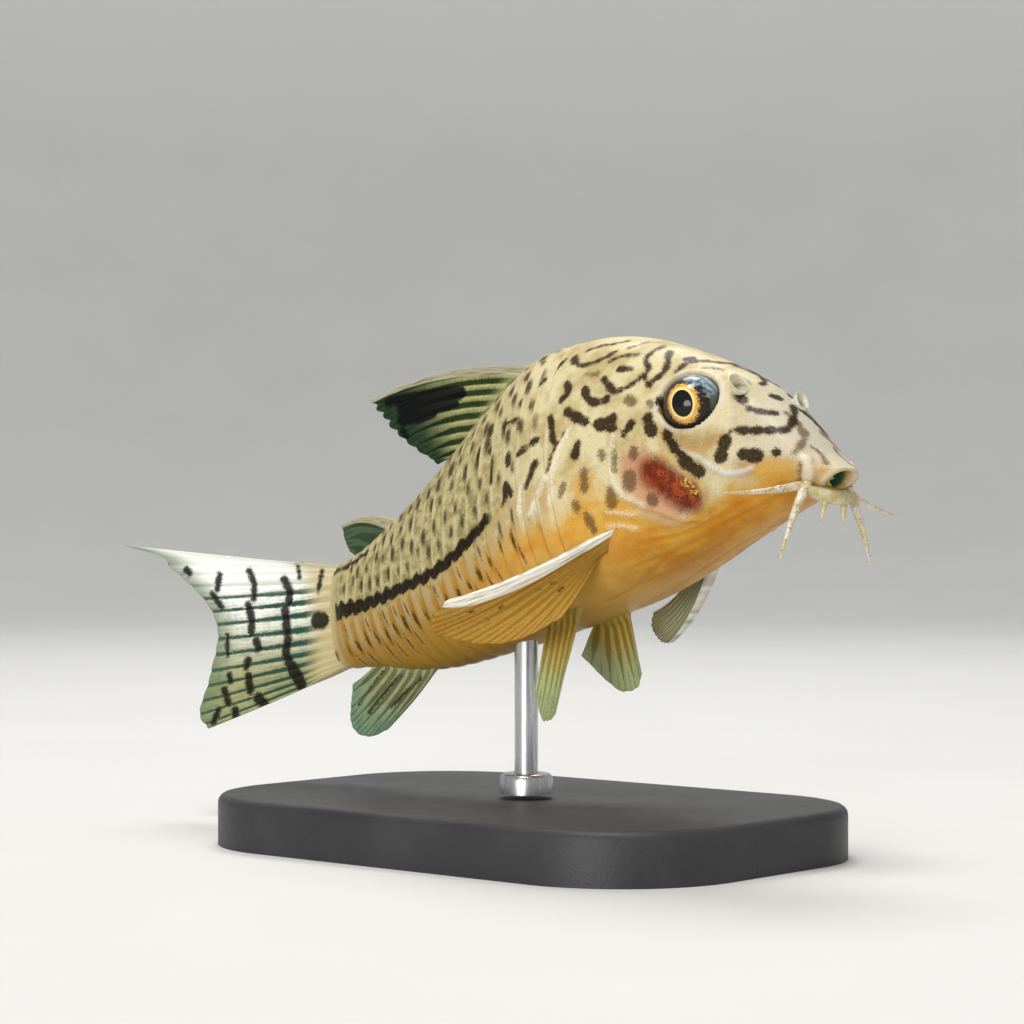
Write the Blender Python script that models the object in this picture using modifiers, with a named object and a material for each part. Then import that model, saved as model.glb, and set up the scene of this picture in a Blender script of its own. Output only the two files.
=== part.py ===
"""A corydoras catfish, life size, swimming nose up on a plain display stand.

Metres, +Z up. The trunk heads along +X, and the origin is the middle of the stand's underside.
A place on the fish is written in its own straight frame: how far behind the snout (back),
how far to its left (left) and how far above the middle of its tail stalk (up). A place on its
skin is a station behind the snout and an angle, from the back, 0, down the side to the belly.
Shares are of the standard length, from the snout to the end of the tail's flesh.
"""

import math

import bmesh
import bpy
import numpy as np
from mathutils import Matrix, Vector
from mathutils.bvhtree import BVHTree

# Driving dimensions
STANDARD_LENGTH = 0.048
GAP = 0.0003
BASE_SIZE = (0.042, 0.028, 0.0035)
BASE_CORNER = 0.009
BASE_EDGE = 0.0006
ROD_RADIUS = 0.0008
COLLAR_RADIUS = 0.0018
COLLAR_HEIGHT = 0.0014
COLLAR_EDGE = 0.0004
ROD_STATION = 0.60
ROD_TOP = 0.0140

# Pose of the backbone: how it turns to the left and tips up, in degrees, along its length
PITCH_IN_WATER = 17.5
ROLL_IN_WATER = -6.0
TURN_ALONG = [(-0.10, -6.5), (0.30, 1.0), (0.55, 0.5), (0.80, -4.0), (1.00, 1.0), (1.30, 16.0), (1.60, 24.0)]
TIP_ALONG = [(-0.10, -1.0), (0.30, -1.0), (0.55, 3.0), (0.80, -0.5), (1.00, -8.0), (1.30, -9.5), (1.60, -9.5)]
BACKBONE_SAMPLES = 400

# Outline of the flesh, as (station, share of the standard length)
BACK_LINE = [
    (0.00, -0.064), (0.03, -0.030), (0.062, 0.030), (0.10, 0.080), (0.15, 0.123),
    (0.205, 0.161), (0.263, 0.196), (0.325, 0.223), (0.396, 0.239), (0.475, 0.246),
    (0.55, 0.222), (0.64, 0.180), (0.73, 0.145), (0.82, 0.118), (0.92, 0.090), (1.00, 0.084),
]
BELLY_LINE = [
    (0.00, -0.080), (0.05, -0.089), (0.10, -0.094), (0.19, -0.108), (0.28, -0.125),
    (0.36, -0.138), (0.48, -0.143), (0.60, -0.137), (0.76, -0.121), (0.82, -0.106),
    (0.88, -0.086), (0.94, -0.076), (1.00, -0.075),
]
HALF_WIDTH = [
    (0.00, 0.046), (0.05, 0.060), (0.10, 0.075), (0.15, 0.089), (0.20, 0.101),
    (0.26, 0.115), (0.32, 0.125), (0.38, 0.129), (0.45, 0.126), (0.55, 0.109),
    (0.65, 0.089), (0.75, 0.069), (0.85, 0.050), (0.95, 0.033), (1.00, 0.022),
]
WIDEST_LEVEL = [(0.00, -0.070), (0.10, -0.045), (0.40, -0.045), (0.70, -0.015), (1.00, 0.004)]
UPPER_FULLNESS = [
    (0.00, 2.0), (0.12, 2.15), (0.25, 2.15), (0.475, 1.60), (0.65, 1.75), (0.85, 2.0), (1.00, 2.3),
]
LOWER_FULLNESS = [(0.00, 2.0), (0.15, 2.2), (0.30, 2.5), (0.55, 2.5), (0.80, 2.0), (1.00, 2.3)]
SNOUT_ROUNDING = 0.045
SNOUT_LEVEL = -0.070
TAIL_END_BULGE = 0.007
TRUNK_SIDES = 36
HEAD_SIDES = 32
HEAD_RINGS = 20
SNOUT_RING_SPACING = 0.35

# Bony plates, two rows on each side. Each laps over the next like a tile and stands out at its rear
PLATE_COUNT = 22
FIRST_PLATE = 0.365
LAST_PLATE = 0.985
TRUNK_PLATES = 12
PLATE_LIFT = 0.0085
PLATE_FRONT_SHARE = 0.05
PLATE_EDGE = 0.06
PLATE_SLANT = 0.022
PLATE_VARIATION = 0.3
PLATES_THIN_OUT = (0.55, 1.00, 0.5)
ROWS_MEET = math.radians(80)
SEAM_HALF_WIDTH = math.radians(9)
SEAM_LIFT_SHARE = 0.25
PLATES_FADE_AT_RIDGE = math.radians(14)
BARE_BELLY_FROM = math.radians(128)
BARE_BELLY_FADE = math.radians(11)
BARE_BELLY_ENDS = (0.46, 0.62)

# Head
GILL_OPENING_TOP = 0.345
GILL_OPENING_LOW = 0.235
GILL_SWEEP = (math.radians(50), math.radians(150))
EYE_ON_SKIN = (0.176, math.radians(58))
EYE_SINK = 0.020
EYE_RADIUS = 0.0405
ORBIT_RIM_RADIUS = 0.0075
NOSTRIL_ON_SKIN = (0.103, math.radians(38))
NOSTRIL_RADIUS = 0.0095
NOSTRIL_HEIGHT = 0.012
NOSTRIL_TUBE_FLARE = (1.15, 1.0, 1.05)
NOSTRIL_FLAP_TAPER = (0.8, 0.7, 0.55)
NOSTRIL_FLAP_REACH = 1.7
MOUTH_CORNER = (0.040, 0.047, -0.083)
MOUTH_PLACE = (0.010, 0.0, -0.084)
MOUTH_RADII = (0.017, 0.013, 0.034)
MOUTH_GAPE = (-0.75, 0.0, -0.66)
LIPS = {
    "upper_lip": ((-0.022, 0.0, -0.052), 0.004, 0.0105),
    "lower_lip": ((0.012, 0.0, -0.110), -0.006, 0.0095),
}
LIP_POINT_PATH = [(0.030, 0.019, -0.096), (0.034, 0.020, -0.112), (0.041, 0.022, -0.131)]
LIP_POINT_RADII = (0.0110, 0.0085, 0.0058, 0.0028)
GILL_COVER_FRONT = 0.200
GILL_COVER_ANGLES = (math.radians(62), math.radians(122))
GILL_COVER_LIFT = 0.0125
GILL_COVER_DEPTH = 0.014
GILL_COVER_SETBACK = 0.024

# Barbels, as (root, middle, tip, radius at the root) of the left one
BARBEL_POINTS = 10
BARBEL_TAPER = 0.68
BARBELS = {
    "barbel_upper": ((0.044, 0.061, -0.080), (0.055, 0.105, -0.096), (0.066, 0.176, -0.099), 0.0088),
    "barbel_lower": ((0.043, 0.056, -0.100), (0.048, 0.078, -0.134), (0.062, 0.092, -0.181), 0.0090),
}

# Fins. Rays and spines stand out of the web between them, and no two are quite the same length
WEB_THICKNESS = 0.00052
RAY_THICKNESS = 0.00085
SPINE_THICKNESS = 0.00125
EDGE_THICKNESS = 0.00045
WEB_HOLLOW = 0.02
RAY_VARIATION = 0.012
MIDDLE_FIN_CLEARANCE = 0.0084
CAUDAL_CLEARANCE = 0.0086
PECTORAL_CLEARANCE = 0.0180
PELVIC_CLEARANCE = 0.0085

# Tip lines of the fins, as (share of the way from the first ray to the last, back, left, up)
DORSAL_ROOT = (0.488, 0.650)
DORSAL_TIPS = [
    (0.00, 0.828, -0.008, 0.311), (0.15, 0.818, -0.008, 0.292), (0.35, 0.795, -0.007, 0.264),
    (0.60, 0.762, -0.005, 0.226), (0.80, 0.730, -0.003, 0.196), (1.00, 0.705, 0.000, 0.174),
]
ADIPOSE_ROOT = (0.820, 0.915)
ADIPOSE_TIPS = [(0.0, 0.950, 0.0, 0.142), (0.5, 0.946, 0.0, 0.120), (1.0, 0.936, 0.0, 0.101)]
ANAL_ROOT = (0.768, 0.885)
ANAL_TIPS = [
    (0.00, 0.890, 0.0, -0.180), (0.30, 0.930, 0.0, -0.184), (0.60, 0.957, 0.0, -0.163),
    (1.00, 0.950, 0.0, -0.100),
]
CAUDAL_ROOT_SHARE = 0.95
CAUDAL_TIPS = [
    (0.00, 1.405, 0.0, 0.169), (0.08, 1.352, 0.0, 0.143), (0.20, 1.290, 0.0, 0.105),
    (0.36, 1.240, 0.0, 0.055), (0.50, 1.222, 0.0, 0.012), (0.72, 1.238, 0.0, -0.063),
    (0.90, 1.254, 0.0, -0.118), (1.00, 1.240, 0.0, -0.140),
]
PECTORAL_SPINE_ROOT = (0.312, math.radians(103))
PECTORAL_LAST_ROOT = (0.338, math.radians(116))
PECTORAL_TIPS = {
    "right": [
        (0.00, 0.556, 0.200, -0.105), (0.15, 0.592, 0.200, -0.125), (0.32, 0.598, 0.190, -0.142),
        (0.55, 0.545, 0.174, -0.170), (0.80, 0.477, 0.158, -0.185), (1.00, 0.410, 0.140, -0.172),
    ],
    "left": [
        (0.00, 0.490, 0.168, -0.136), (0.15, 0.504, 0.168, -0.148), (0.32, 0.504, 0.166, -0.158),
        (0.55, 0.485, 0.160, -0.166), (0.80, 0.450, 0.150, -0.168), (1.00, 0.408, 0.138, -0.162),
    ],
}
PELVIC_FIRST_ROOT = (0.445, math.radians(161))
PELVIC_LAST_ROOT = (0.505, math.radians(158))
PELVIC_TIPS = {
    "right": [
        (0.0, 0.496, 0.078, -0.262), (0.3, 0.512, 0.090, -0.283), (0.7, 0.530, 0.098, -0.272),
        (1.0, 0.538, 0.096, -0.232),
    ],
    "left": [
        (0.0, 0.485, 0.088, -0.214), (0.3, 0.500, 0.092, -0.232), (0.6, 0.518, 0.093, -0.236),
        (1.0, 0.545, 0.088, -0.214),
    ],
}

L = STANDARD_LENGTH
draw = np.random.default_rng(7)
PLATE_SIZES = 1 - PLATE_VARIATION * draw.random((2, PLATE_COUNT + 1))


def smooth_curve(points):
    """A smooth function through (station, value) points."""
    x = np.array([p[0] for p in points])
    y = np.array([p[1] for p in points])
    slope = np.gradient(y, x)

    def at(station):
        station = min(max(station, x[0]), x[-1])
        i = min(int(np.searchsorted(x, station, side="right")) - 1, len(x) - 2)
        run = x[i + 1] - x[i]
        t = (station - x[i]) / run
        return (
            (2 * t**3 - 3 * t**2 + 1) * y[i]
            + (t**3 - 2 * t**2 + t) * run * slope[i]
            + (3 * t**2 - 2 * t**3) * y[i + 1]
            + (t**3 - t**2) * run * slope[i + 1]
        )

    return at


def ease(t):
    """0 before 0, 1 after 1, and a soft rise between."""
    t = min(max(t, 0.0), 1.0)
    return t * t * (3 - 2 * t)


def between(a, b, t):
    """The value a share t of the way from a to b."""
    return a + (b - a) * t


back_line = smooth_curve(BACK_LINE)
belly_line = smooth_curve(BELLY_LINE)
half_width = smooth_curve(HALF_WIDTH)
widest_level = smooth_curve(WIDEST_LEVEL)
upper_fullness = smooth_curve(UPPER_FULLNESS)
lower_fullness = smooth_curve(LOWER_FULLNESS)


def lay_backbone():
    """Samples of the bent backbone: stations, places and the forward, left and up directions."""
    stations = np.linspace(TURN_ALONG[0][0], TURN_ALONG[-1][0], BACKBONE_SAMPLES)
    turn, tip = smooth_curve(TURN_ALONG), smooth_curve(TIP_ALONG)
    roll = Matrix.Rotation(math.radians(ROLL_IN_WATER), 3, "X")
    pitch = Matrix.Rotation(math.radians(-PITCH_IN_WATER), 3, "Y")
    forward, left, up = [], [], []
    for s in stations:
        yaw = Matrix.Rotation(math.radians(turn(s)), 3, "Z")
        nod = Matrix.Rotation(math.radians(-tip(s)), 3, "Y")
        local = pitch @ roll @ yaw @ nod
        forward.append(local @ Vector((1, 0, 0)))
        left.append(local @ Vector((0, 1, 0)))
        up.append(local @ Vector((0, 0, 1)))
    step = (stations[1] - stations[0]) * L
    places = [Vector((0, 0, 0))]
    for a, b in zip(forward, forward[1:]):
        places.append(places[-1] - (a + b) * (step / 2))
    return stations, np.array(places), np.array(forward), np.array(left), np.array(up)


STATIONS, SPINE, FORWARD, LEFT, UP = lay_backbone()


def along_spine(values, s):
    """The value at station s of something sampled along the backbone."""
    return np.array([np.interp(s, STATIONS, values[:, k]) for k in range(3)])


def posed(s, left, up):
    """The place in the posed fish of a point of the straight one. All three are shares."""
    return Vector(along_spine(SPINE, s) + along_spine(LEFT, s) * left * L + along_spine(UP, s) * up * L)


# The belly over the rod comes to stand at the rod's top
SPINE += Vector((0, 0, ROD_TOP)) - posed(ROD_STATION, 0.0, belly_line(ROD_STATION))


def on_side(place, side):
    """The posed point for a (back, left, up) place, on the left, 1, or the right, -1."""
    back, left, up = place
    return posed(back, side * left, up)


def direction(back, left, up, s, side=1):
    """The posed direction of one that is given in the straight fish at station s."""
    made = -along_spine(FORWARD, s) * back + along_spine(LEFT, s) * left * side + along_spine(UP, s) * up
    return Vector(made).normalized()


def flesh(s, angle, lift=0.0):
    """(back, left, up) of the left side's skin, lifted off it by a share of the length."""
    middle = widest_level(s)
    wide, top, low = half_width(s), back_line(s), belly_line(s)
    if s < SNOUT_ROUNDING:
        round_off = math.sqrt(max(0.0, 1 - (1 - s / SNOUT_ROUNDING) ** 2))
        wide *= round_off
        top, low, middle = (between(SNOUT_LEVEL, level, round_off) for level in (top, low, middle))
    upper = angle <= math.pi / 2
    full = upper_fullness(s) if upper else lower_fullness(s)
    reach = (top if upper else low) - middle
    out = abs(math.sin(angle)) ** (2 / full) * wide
    rise = abs(math.cos(angle)) ** (2 / full) * reach
    if lift:
        length = math.hypot(math.sin(angle) / wide, math.cos(angle) / reach)
        out += lift * math.sin(angle) / wide / length
        rise += lift * math.cos(angle) / abs(reach) / length
    return s, out, middle + rise


def skin_at(s, angle, side, lift=0.0):
    """The posed point of the skin on one side, lifted off it by a share of the length."""
    return on_side(flesh(s, angle, lift), side)


def skin_normal(s, angle, side):
    """The direction straight out of the skin."""
    along = skin_at(s + 0.004, angle, side) - skin_at(s - 0.004, angle, side)
    around = skin_at(s, angle + 0.04, side) - skin_at(s, angle - 0.04, side)
    return (along.cross(around) * -side).normalized()


def axes_from(out, s):
    """Three square directions at station s, the last one the direction given."""
    across = Vector(along_spine(FORWARD, s)).cross(out).normalized()
    return [across, out.cross(across), out]


def finish(name, colour, roughness, metallic=0.0):
    """A painted surface of one colour."""
    made = bpy.data.materials.new(name)
    made.use_nodes = True
    shader = made.node_tree.nodes["Principled BSDF"]
    shader.inputs["Base Color"].default_value = (*colour, 1)
    shader.inputs["Roughness"].default_value = roughness
    shader.inputs["Metallic"].default_value = metallic
    made.diffuse_color = (*colour, 1)
    return made


def add(name, mesh, collection, surface=None):
    """A named object for a mesh, with its material."""
    body = bpy.data.objects.new(name, mesh)
    collection.objects.link(body)
    if surface:
        mesh.materials.append(surface)
    return body


def mesh_from(bm, name):
    """The mesh of a finished closed shape, its faces pointing out and its round parts smooth."""
    bmesh.ops.recalc_face_normals(bm, faces=bm.faces[:])
    mesh = bpy.data.meshes.new(name)
    bm.to_mesh(mesh)
    bm.free()
    mesh.shade_smooth()
    mesh.set_sharp_from_angle(angle=math.radians(45))
    return mesh


def evaluated_mesh(body):
    """A plain mesh of an object with its modifiers or curve settings worked in."""
    return bpy.data.meshes.new_from_object(body.evaluated_get(bpy.context.evaluated_depsgraph_get()))


def pieces_collection(name):
    """A collection for pieces that a Boolean then joins to a body or cuts from it."""
    made = bpy.data.collections.new(name)
    bpy.context.scene.collection.children.link(made)
    return made


def work_in(body, pieces, operation):
    """Joins a collection of closed pieces to a body, or cuts them from it, and removes them."""
    step = body.modifiers.new("work_in", "BOOLEAN")
    step.operation = operation
    step.operand_type = "COLLECTION"
    step.collection = pieces
    step.solver = "MANIFOLD"
    solid = evaluated_mesh(body)
    body.modifiers.remove(step)
    body.data = solid
    for piece in list(pieces.objects):
        bpy.data.objects.remove(piece)
    bpy.data.collections.remove(pieces)
    keep_largest(body)
    solid.shade_smooth()
    solid.set_sharp_from_angle(angle=math.radians(45))


def keep_largest(body):
    """Drops every closed surface of a body but the one with the most faces."""
    bm = bmesh.new()
    bm.from_mesh(body.data)
    left = set(bm.faces)
    shells = []
    while left:
        shell, border = set(), [left.pop()]
        while border:
            face = border.pop()
            shell.add(face)
            near = {f for e in face.edges for f in e.link_faces} & left
            left -= near
            border += near
        shells.append(shell)
    largest = max(shells, key=len)
    bmesh.ops.delete(bm, geom=[f for f in bm.faces if f not in largest], context="FACES")
    bm.to_mesh(body.data)
    bm.free()


def ball(name, centre, radii, axes, collection, surface=None, segments=20, rings=12):
    """An ellipsoid with its radii along three directions."""
    bm = bmesh.new()
    bmesh.ops.create_uvsphere(bm, u_segments=segments, v_segments=rings, radius=1)
    turned = Matrix(axes).transposed() @ Matrix.Diagonal(radii)
    bmesh.ops.transform(bm, matrix=Matrix.Translation(centre) @ turned.to_4x4(), verts=bm.verts)
    return add(name, mesh_from(bm, name), collection, surface)


def tube(name, path, radii, collection, surface=None):
    """A round tube along points, with its own radius at each, made from a curve."""
    curve = bpy.data.curves.new(name, "CURVE")
    curve.dimensions = "3D"
    curve.bevel_depth = 1.0
    curve.bevel_resolution = 2
    curve.use_fill_caps = True
    line = curve.splines.new("POLY")
    line.points.add(len(path) - 1)
    for point, place, radius in zip(line.points, path, radii):
        point.co = (*place, 1)
        point.radius = radius
    guide = add(name + "_line", curve, collection)
    bm = bmesh.new()
    bm.from_mesh(evaluated_mesh(guide))
    bpy.data.objects.remove(guide)
    bmesh.ops.remove_doubles(bm, verts=bm.verts, dist=1e-6)
    return add(name, mesh_from(bm, name), collection, surface)


def bow(start, middle, end, count):
    """Points on the smooth bow from start to end that is drawn towards middle."""
    shares = [k / (count - 1) for k in range(count)]
    return [start * (1 - t) ** 2 + middle * (2 * t * (1 - t)) + end * t**2 for t in shares]


def sheet(name, columns, thickness, collection, surface=None):
    """A sheet through columns of points, as thick as given at each, with both faces split alike."""
    across, along = len(columns), len(columns[0])
    thickest = max(max(column) for column in thickness)
    bm = bmesh.new()
    bmesh.ops.create_grid(bm, x_segments=along - 1, y_segments=across - 1, size=1)
    weight = bm.verts.layers.deform.verify()
    for k, vert in enumerate(bm.verts):
        column, row = divmod(k, along)
        vert.co = columns[column][row]
        vert[weight][0] = thickness[column][row] / thickest
    bmesh.ops.triangulate(bm, faces=bm.faces, quad_method="FIXED")
    mesh = bpy.data.meshes.new(name)
    bm.to_mesh(mesh)
    bm.free()
    mesh.shade_smooth()
    body = add(name, mesh, collection, surface)
    body.vertex_groups.new(name="thickness")
    wall = body.modifiers.new("wall", "SOLIDIFY")
    wall.thickness = thickest
    wall.offset = 0
    wall.vertex_group = "thickness"
    return body


def body_ring(station_at, sides, lift_at):
    """A ring of posed points round the body. station_at and lift_at read the angle and the station."""
    half = sides // 2
    left = [(1, math.pi * k / half) for k in range(half + 1)]
    right = [(-1, angle) for _, angle in left[-2:0:-1]]
    return [skin_at(station_at(a), a, side, lift_at(station_at(a), a)) for side, a in left + right]


def bare(s, angle):
    """The lift of skin that carries no plates."""
    return 0.0


def body_length(name, rings, collection, surface, nose=None):
    """A length of the body, lofted over its rings and shut at each end by a fan to a point."""
    bm = bmesh.new()
    loops = [[bm.verts.new(p) for p in ring] for ring in rings]
    count = len(loops[0])
    for a, b in zip(loops, loops[1:]):
        for k in range(count):
            bm.faces.new((a[k], a[(k + 1) % count], b[(k + 1) % count], b[k]))
    for loop, end in ((loops[0], nose), (loops[-1], None)):
        hub = bm.verts.new(end or sum((v.co for v in loop), Vector()) / count)
        for k in range(count):
            bm.faces.new((loop[k], loop[(k + 1) % count], hub))
    return add(name, mesh_from(bm, name), collection, surface)


def gill_line(angle):
    """The station of the gill opening, which runs forward under the throat."""
    sweep = (angle - GILL_SWEEP[0]) / (GILL_SWEEP[1] - GILL_SWEEP[0])
    return between(GILL_OPENING_TOP, GILL_OPENING_LOW, ease(sweep))


def plate_slant(angle):
    """How far a plate's edge is swept back there. It is furthest back where the two rows meet."""
    return PLATE_SLANT * (1 - abs(angle - ROWS_MEET) / (math.pi - ROWS_MEET))


def plate_station(count, angle):
    """The station of a line across the body that follows the plates' edges."""
    return FIRST_PLATE + count * (LAST_PLATE - FIRST_PLATE) / PLATE_COUNT + plate_slant(angle)


def plate_lift(s, angle):
    """How far the plates stand out of the skin there, as a share."""
    count = (s - plate_slant(angle) - FIRST_PLATE) / (LAST_PLATE - FIRST_PLATE) * PLATE_COUNT
    lower_row = angle > ROWS_MEET
    if lower_row:
        count += 0.5
    if count < 0 or count > PLATE_COUNT:
        return 0.0
    rise = between(PLATE_FRONT_SHARE, 1.0, count % 1.0) * PLATE_SIZES[int(lower_row)][int(count)]
    from_ridge = ease(min(angle, math.pi - angle) / PLATES_FADE_AT_RIDGE)
    from_seam = between(SEAM_LIFT_SHARE, 1.0, ease(abs(angle - ROWS_MEET) / SEAM_HALF_WIDTH))
    bare_ahead = 1 - ease((s - BARE_BELLY_ENDS[0]) / (BARE_BELLY_ENDS[1] - BARE_BELLY_ENDS[0]))
    covered = 1 - ease((angle - BARE_BELLY_FROM) / BARE_BELLY_FADE) * bare_ahead
    first, last, least = PLATES_THIN_OUT
    thinning = between(1.0, least, ease((s - first) / (last - first)))
    return PLATE_LIFT * rise * from_ridge * from_seam * covered * thinning


def plate_rings(first, last):
    """Rings just before and just behind each plate's edge in both rows."""
    shares = (PLATE_EDGE, 0.5 - PLATE_EDGE, 0.5 + PLATE_EDGE, 1 - PLATE_EDGE)
    counts = [n + share for n in range(first, last) for share in shares]
    return [body_ring(lambda a, c=c: plate_station(c, a), TRUNK_SIDES, plate_lift) for c in counts]


def make_trunk(collection, surface):
    """The trunk from the gill opening to behind the dorsal fin."""

    def behind_gills(share):
        return lambda angle: between(gill_line(angle) + GAP / L, plate_station(0, angle), share)

    rings = [body_ring(behind_gills(share), TRUNK_SIDES, bare) for share in (0.0, 0.3, 0.6, 0.9)]
    return body_length("trunk", rings + plate_rings(0, TRUNK_PLATES), collection, surface)


def make_tail_stalk(collection, surface):
    """The tail from behind the dorsal fin to the root of the tail fin."""
    plates_in_gap = GAP / L * PLATE_COUNT / (LAST_PLATE - FIRST_PLATE)
    front = TRUNK_PLATES - PLATE_EDGE + plates_in_gap
    rings = [body_ring(lambda angle: plate_station(front, angle), TRUNK_SIDES, plate_lift)]
    rings += plate_rings(TRUNK_PLATES, PLATE_COUNT)[1:]
    rings.append(body_ring(tail_end, TRUNK_SIDES, bare))
    return body_length("tail_stalk", rings, collection, surface)


def tail_end(angle):
    """The station where the tail's flesh ends. It bulges a little into the fin."""
    return 1.0 + TAIL_END_BULGE * math.sin(angle)


def make_head(collection, surface):
    """The head in front of the gill opening, with lips, nostrils, orbit rims and gill covers."""
    rings = []
    for k in range(1, HEAD_RINGS + 1):
        share = k / HEAD_RINGS
        share *= between(SNOUT_RING_SPACING, 1.0, share)
        rings.append(body_ring(lambda angle, f=share: gill_line(angle) * f, HEAD_SIDES, bare))
    head = body_length("head", rings, collection, surface, nose=posed(0.0, 0.0, SNOUT_LEVEL))
    raised = pieces_collection("head_raised")
    add_lips(raised)
    for side in (1, -1):
        add_nostril(raised, side)
        add_orbit_rim(raised, side)
        add_gill_cover(raised, side)
    work_in(head, raised, "UNION")
    cuts = pieces_collection("head_cuts")
    gape = axes_from(direction(*MOUTH_GAPE, 0.0), 0.0)
    ball("mouth", on_side(MOUTH_PLACE, 1), [radius * L for radius in MOUTH_RADII], gape, cuts)
    for side in (1, -1):
        socket = [EYE_RADIUS * L + GAP] * 3
        ball("socket", eye_centre(side), socket, eye_axes(side), cuts, segments=24, rings=14)
        cut_nostril(cuts, side)
    work_in(head, cuts, "DIFFERENCE")


def add_lips(pieces):
    """Two fleshy lips that meet at the roots of the barbels, and the two points on the lower one."""
    count = 11
    back, left, up = MOUTH_CORNER
    for name, (middle, rise, radius) in LIPS.items():
        start, end = (on_side((back, left, up + rise), side) for side in (1, -1))
        swell = [radius * L * between(0.75, 1.0, math.sin(math.pi * k / (count - 1))) for k in range(count)]
        tube(name, bow(start, on_side(middle, 1), end, count), swell, pieces)
    for side in (1, -1):
        path = bow(*(on_side(place, side) for place in LIP_POINT_PATH), len(LIP_POINT_RADII))
        tube("lip_point", path, [radius * L for radius in LIP_POINT_RADII], pieces)


def add_nostril(pieces, side):
    """A short fleshy tube round the front nostril, with its flap at the back."""
    root = skin_at(*NOSTRIL_ON_SKIN, side)
    out = skin_normal(*NOSTRIL_ON_SKIN, side)
    steps = (-NOSTRIL_HEIGHT, 0.0, NOSTRIL_HEIGHT)
    radii = [NOSTRIL_RADIUS * L * share for share in NOSTRIL_TUBE_FLARE]
    tube("nostril_tube", [root + out * (reach * L) for reach in steps], radii, pieces)
    behind = root + direction(1, 0, 0, NOSTRIL_ON_SKIN[0]) * (NOSTRIL_RADIUS * L)
    radii = [NOSTRIL_RADIUS * L * share for share in NOSTRIL_FLAP_TAPER]
    tube("nostril_flap", [behind + out * (reach * NOSTRIL_FLAP_REACH * L) for reach in steps], radii, pieces)


def cut_nostril(pieces, side):
    """The hole down the front nostril."""
    out = skin_normal(*NOSTRIL_ON_SKIN, side)
    centre = skin_at(*NOSTRIL_ON_SKIN, side) + out * (2 * NOSTRIL_HEIGHT * L)
    across = NOSTRIL_RADIUS * 0.55 * L
    radii = (across, across, 2 * NOSTRIL_HEIGHT * L)
    ball("nostril_hole", centre, radii, axes_from(out, NOSTRIL_ON_SKIN[0]), pieces, segments=12, rings=8)


def eye_axes(side):
    """Two directions across the eye and the one that it looks out along."""
    return axes_from(skin_normal(*EYE_ON_SKIN, side), EYE_ON_SKIN[0])


def eye_centre(side):
    """The middle of the eyeball, sunk in the head."""
    return skin_at(*EYE_ON_SKIN, side, -EYE_SINK)


def add_orbit_rim(pieces, side):
    """The low rim of skin round the eye."""
    turned = Matrix(eye_axes(side)).transposed().to_4x4()
    middle = eye_centre(side) + eye_axes(side)[2] * (EYE_SINK * 0.95 * L)
    bpy.ops.mesh.primitive_torus_add(
        major_segments=24,
        minor_segments=8,
        major_radius=EYE_RADIUS * 0.97 * L,
        minor_radius=ORBIT_RIM_RADIUS * L,
    )
    rim = bpy.context.object
    rim.data.transform(Matrix.Translation(middle) @ turned)
    for home in list(rim.users_collection):
        home.objects.unlink(rim)
    pieces.objects.link(rim)


def add_gill_cover(pieces, side):
    """The gill cover, a rounded bony plate whose rear edge stands free of the skin."""
    steps = 9
    columns, thickness = [], []
    for i in range(steps):
        behind = i / (steps - 1)
        column = []
        for j in range(steps):
            down = j / (steps - 1)
            round_off = math.sqrt(max(0.0, 1 - (2 * down - 1) ** 2))
            angle = between(*GILL_COVER_ANGLES, down)
            edges = (GILL_COVER_FRONT, gill_line(angle) - GILL_COVER_SETBACK)
            s = between(*edges, 0.5 + (behind - 0.5) * between(0.5, 1.0, round_off))
            lift = GILL_COVER_LIFT * between(0.1, 1.0, behind) * between(0.3, 1.0, round_off)
            column.append(skin_at(s, angle, side, lift - GILL_COVER_DEPTH / 2))
        columns.append(column)
        thickness.append([GILL_COVER_DEPTH * L] * steps)
    sheet("gill_cover", columns, thickness, pieces)


def make_eye(side, name, collection, surface):
    """The eyeball, a little flattened on its axis."""
    radii = [EYE_RADIUS * L * share for share in (1.0, 1.0, 0.97)]
    ball(name, eye_centre(side), radii, eye_axes(side), collection, surface)


def fin(name, rays, collection, surface, rows, has_spine=True):
    """A fin from its rays, each a (root, middle, tip) in the posed fish, with a web between them."""
    columns, thickness = [], []
    shares = [row / (rows - 1) for row in range(rows)]
    for k, ray in enumerate(rays):
        if k:
            root, middle, tip = ((a + b) / 2 for a, b in zip(rays[k - 1], ray))
            columns.append(bow(root, middle, between(root, tip, 1 - WEB_HOLLOW), rows))
            thickness.append([between(WEB_THICKNESS, EDGE_THICKNESS, share) for share in shares])
        columns.append(bow(*ray, rows))
        stout = SPINE_THICKNESS if has_spine and k == 0 else RAY_THICKNESS
        thickness.append([between(stout, EDGE_THICKNESS, share) for share in shares])
    sheet(name, columns, thickness, collection, surface)


def fan(count, roots, tips, side=1, rise=0.0, lean=0.0):
    """Rays from a root line to a tip line, each a function of 0 to 1 that gives (back, left, up)."""
    rays = []
    for k in range(count):
        root, tip = (np.array(line(k / (count - 1))) for line in (roots, tips))
        tip = between(root, tip, 1 + RAY_VARIATION * draw.uniform(-1, 1))
        middle = (root + tip) / 2 + np.array([0.0, lean, rise])
        rays.append([on_side(place, side) for place in (root, middle, tip)])
    return rays


def through(*points):
    """A smooth line through (share, back, left, up) points."""
    curves = [smooth_curve([(p[0], p[k]) for p in points]) for k in (1, 2, 3)]
    return lambda t: tuple(curve(t) for curve in curves)


def root_along(level, ends, clearance):
    """The root line of a fin on the middle line of the back or belly, clear of the flesh."""

    def at(t):
        s = between(*ends, t)
        return s, 0.0, level(s) + clearance

    return at


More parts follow.
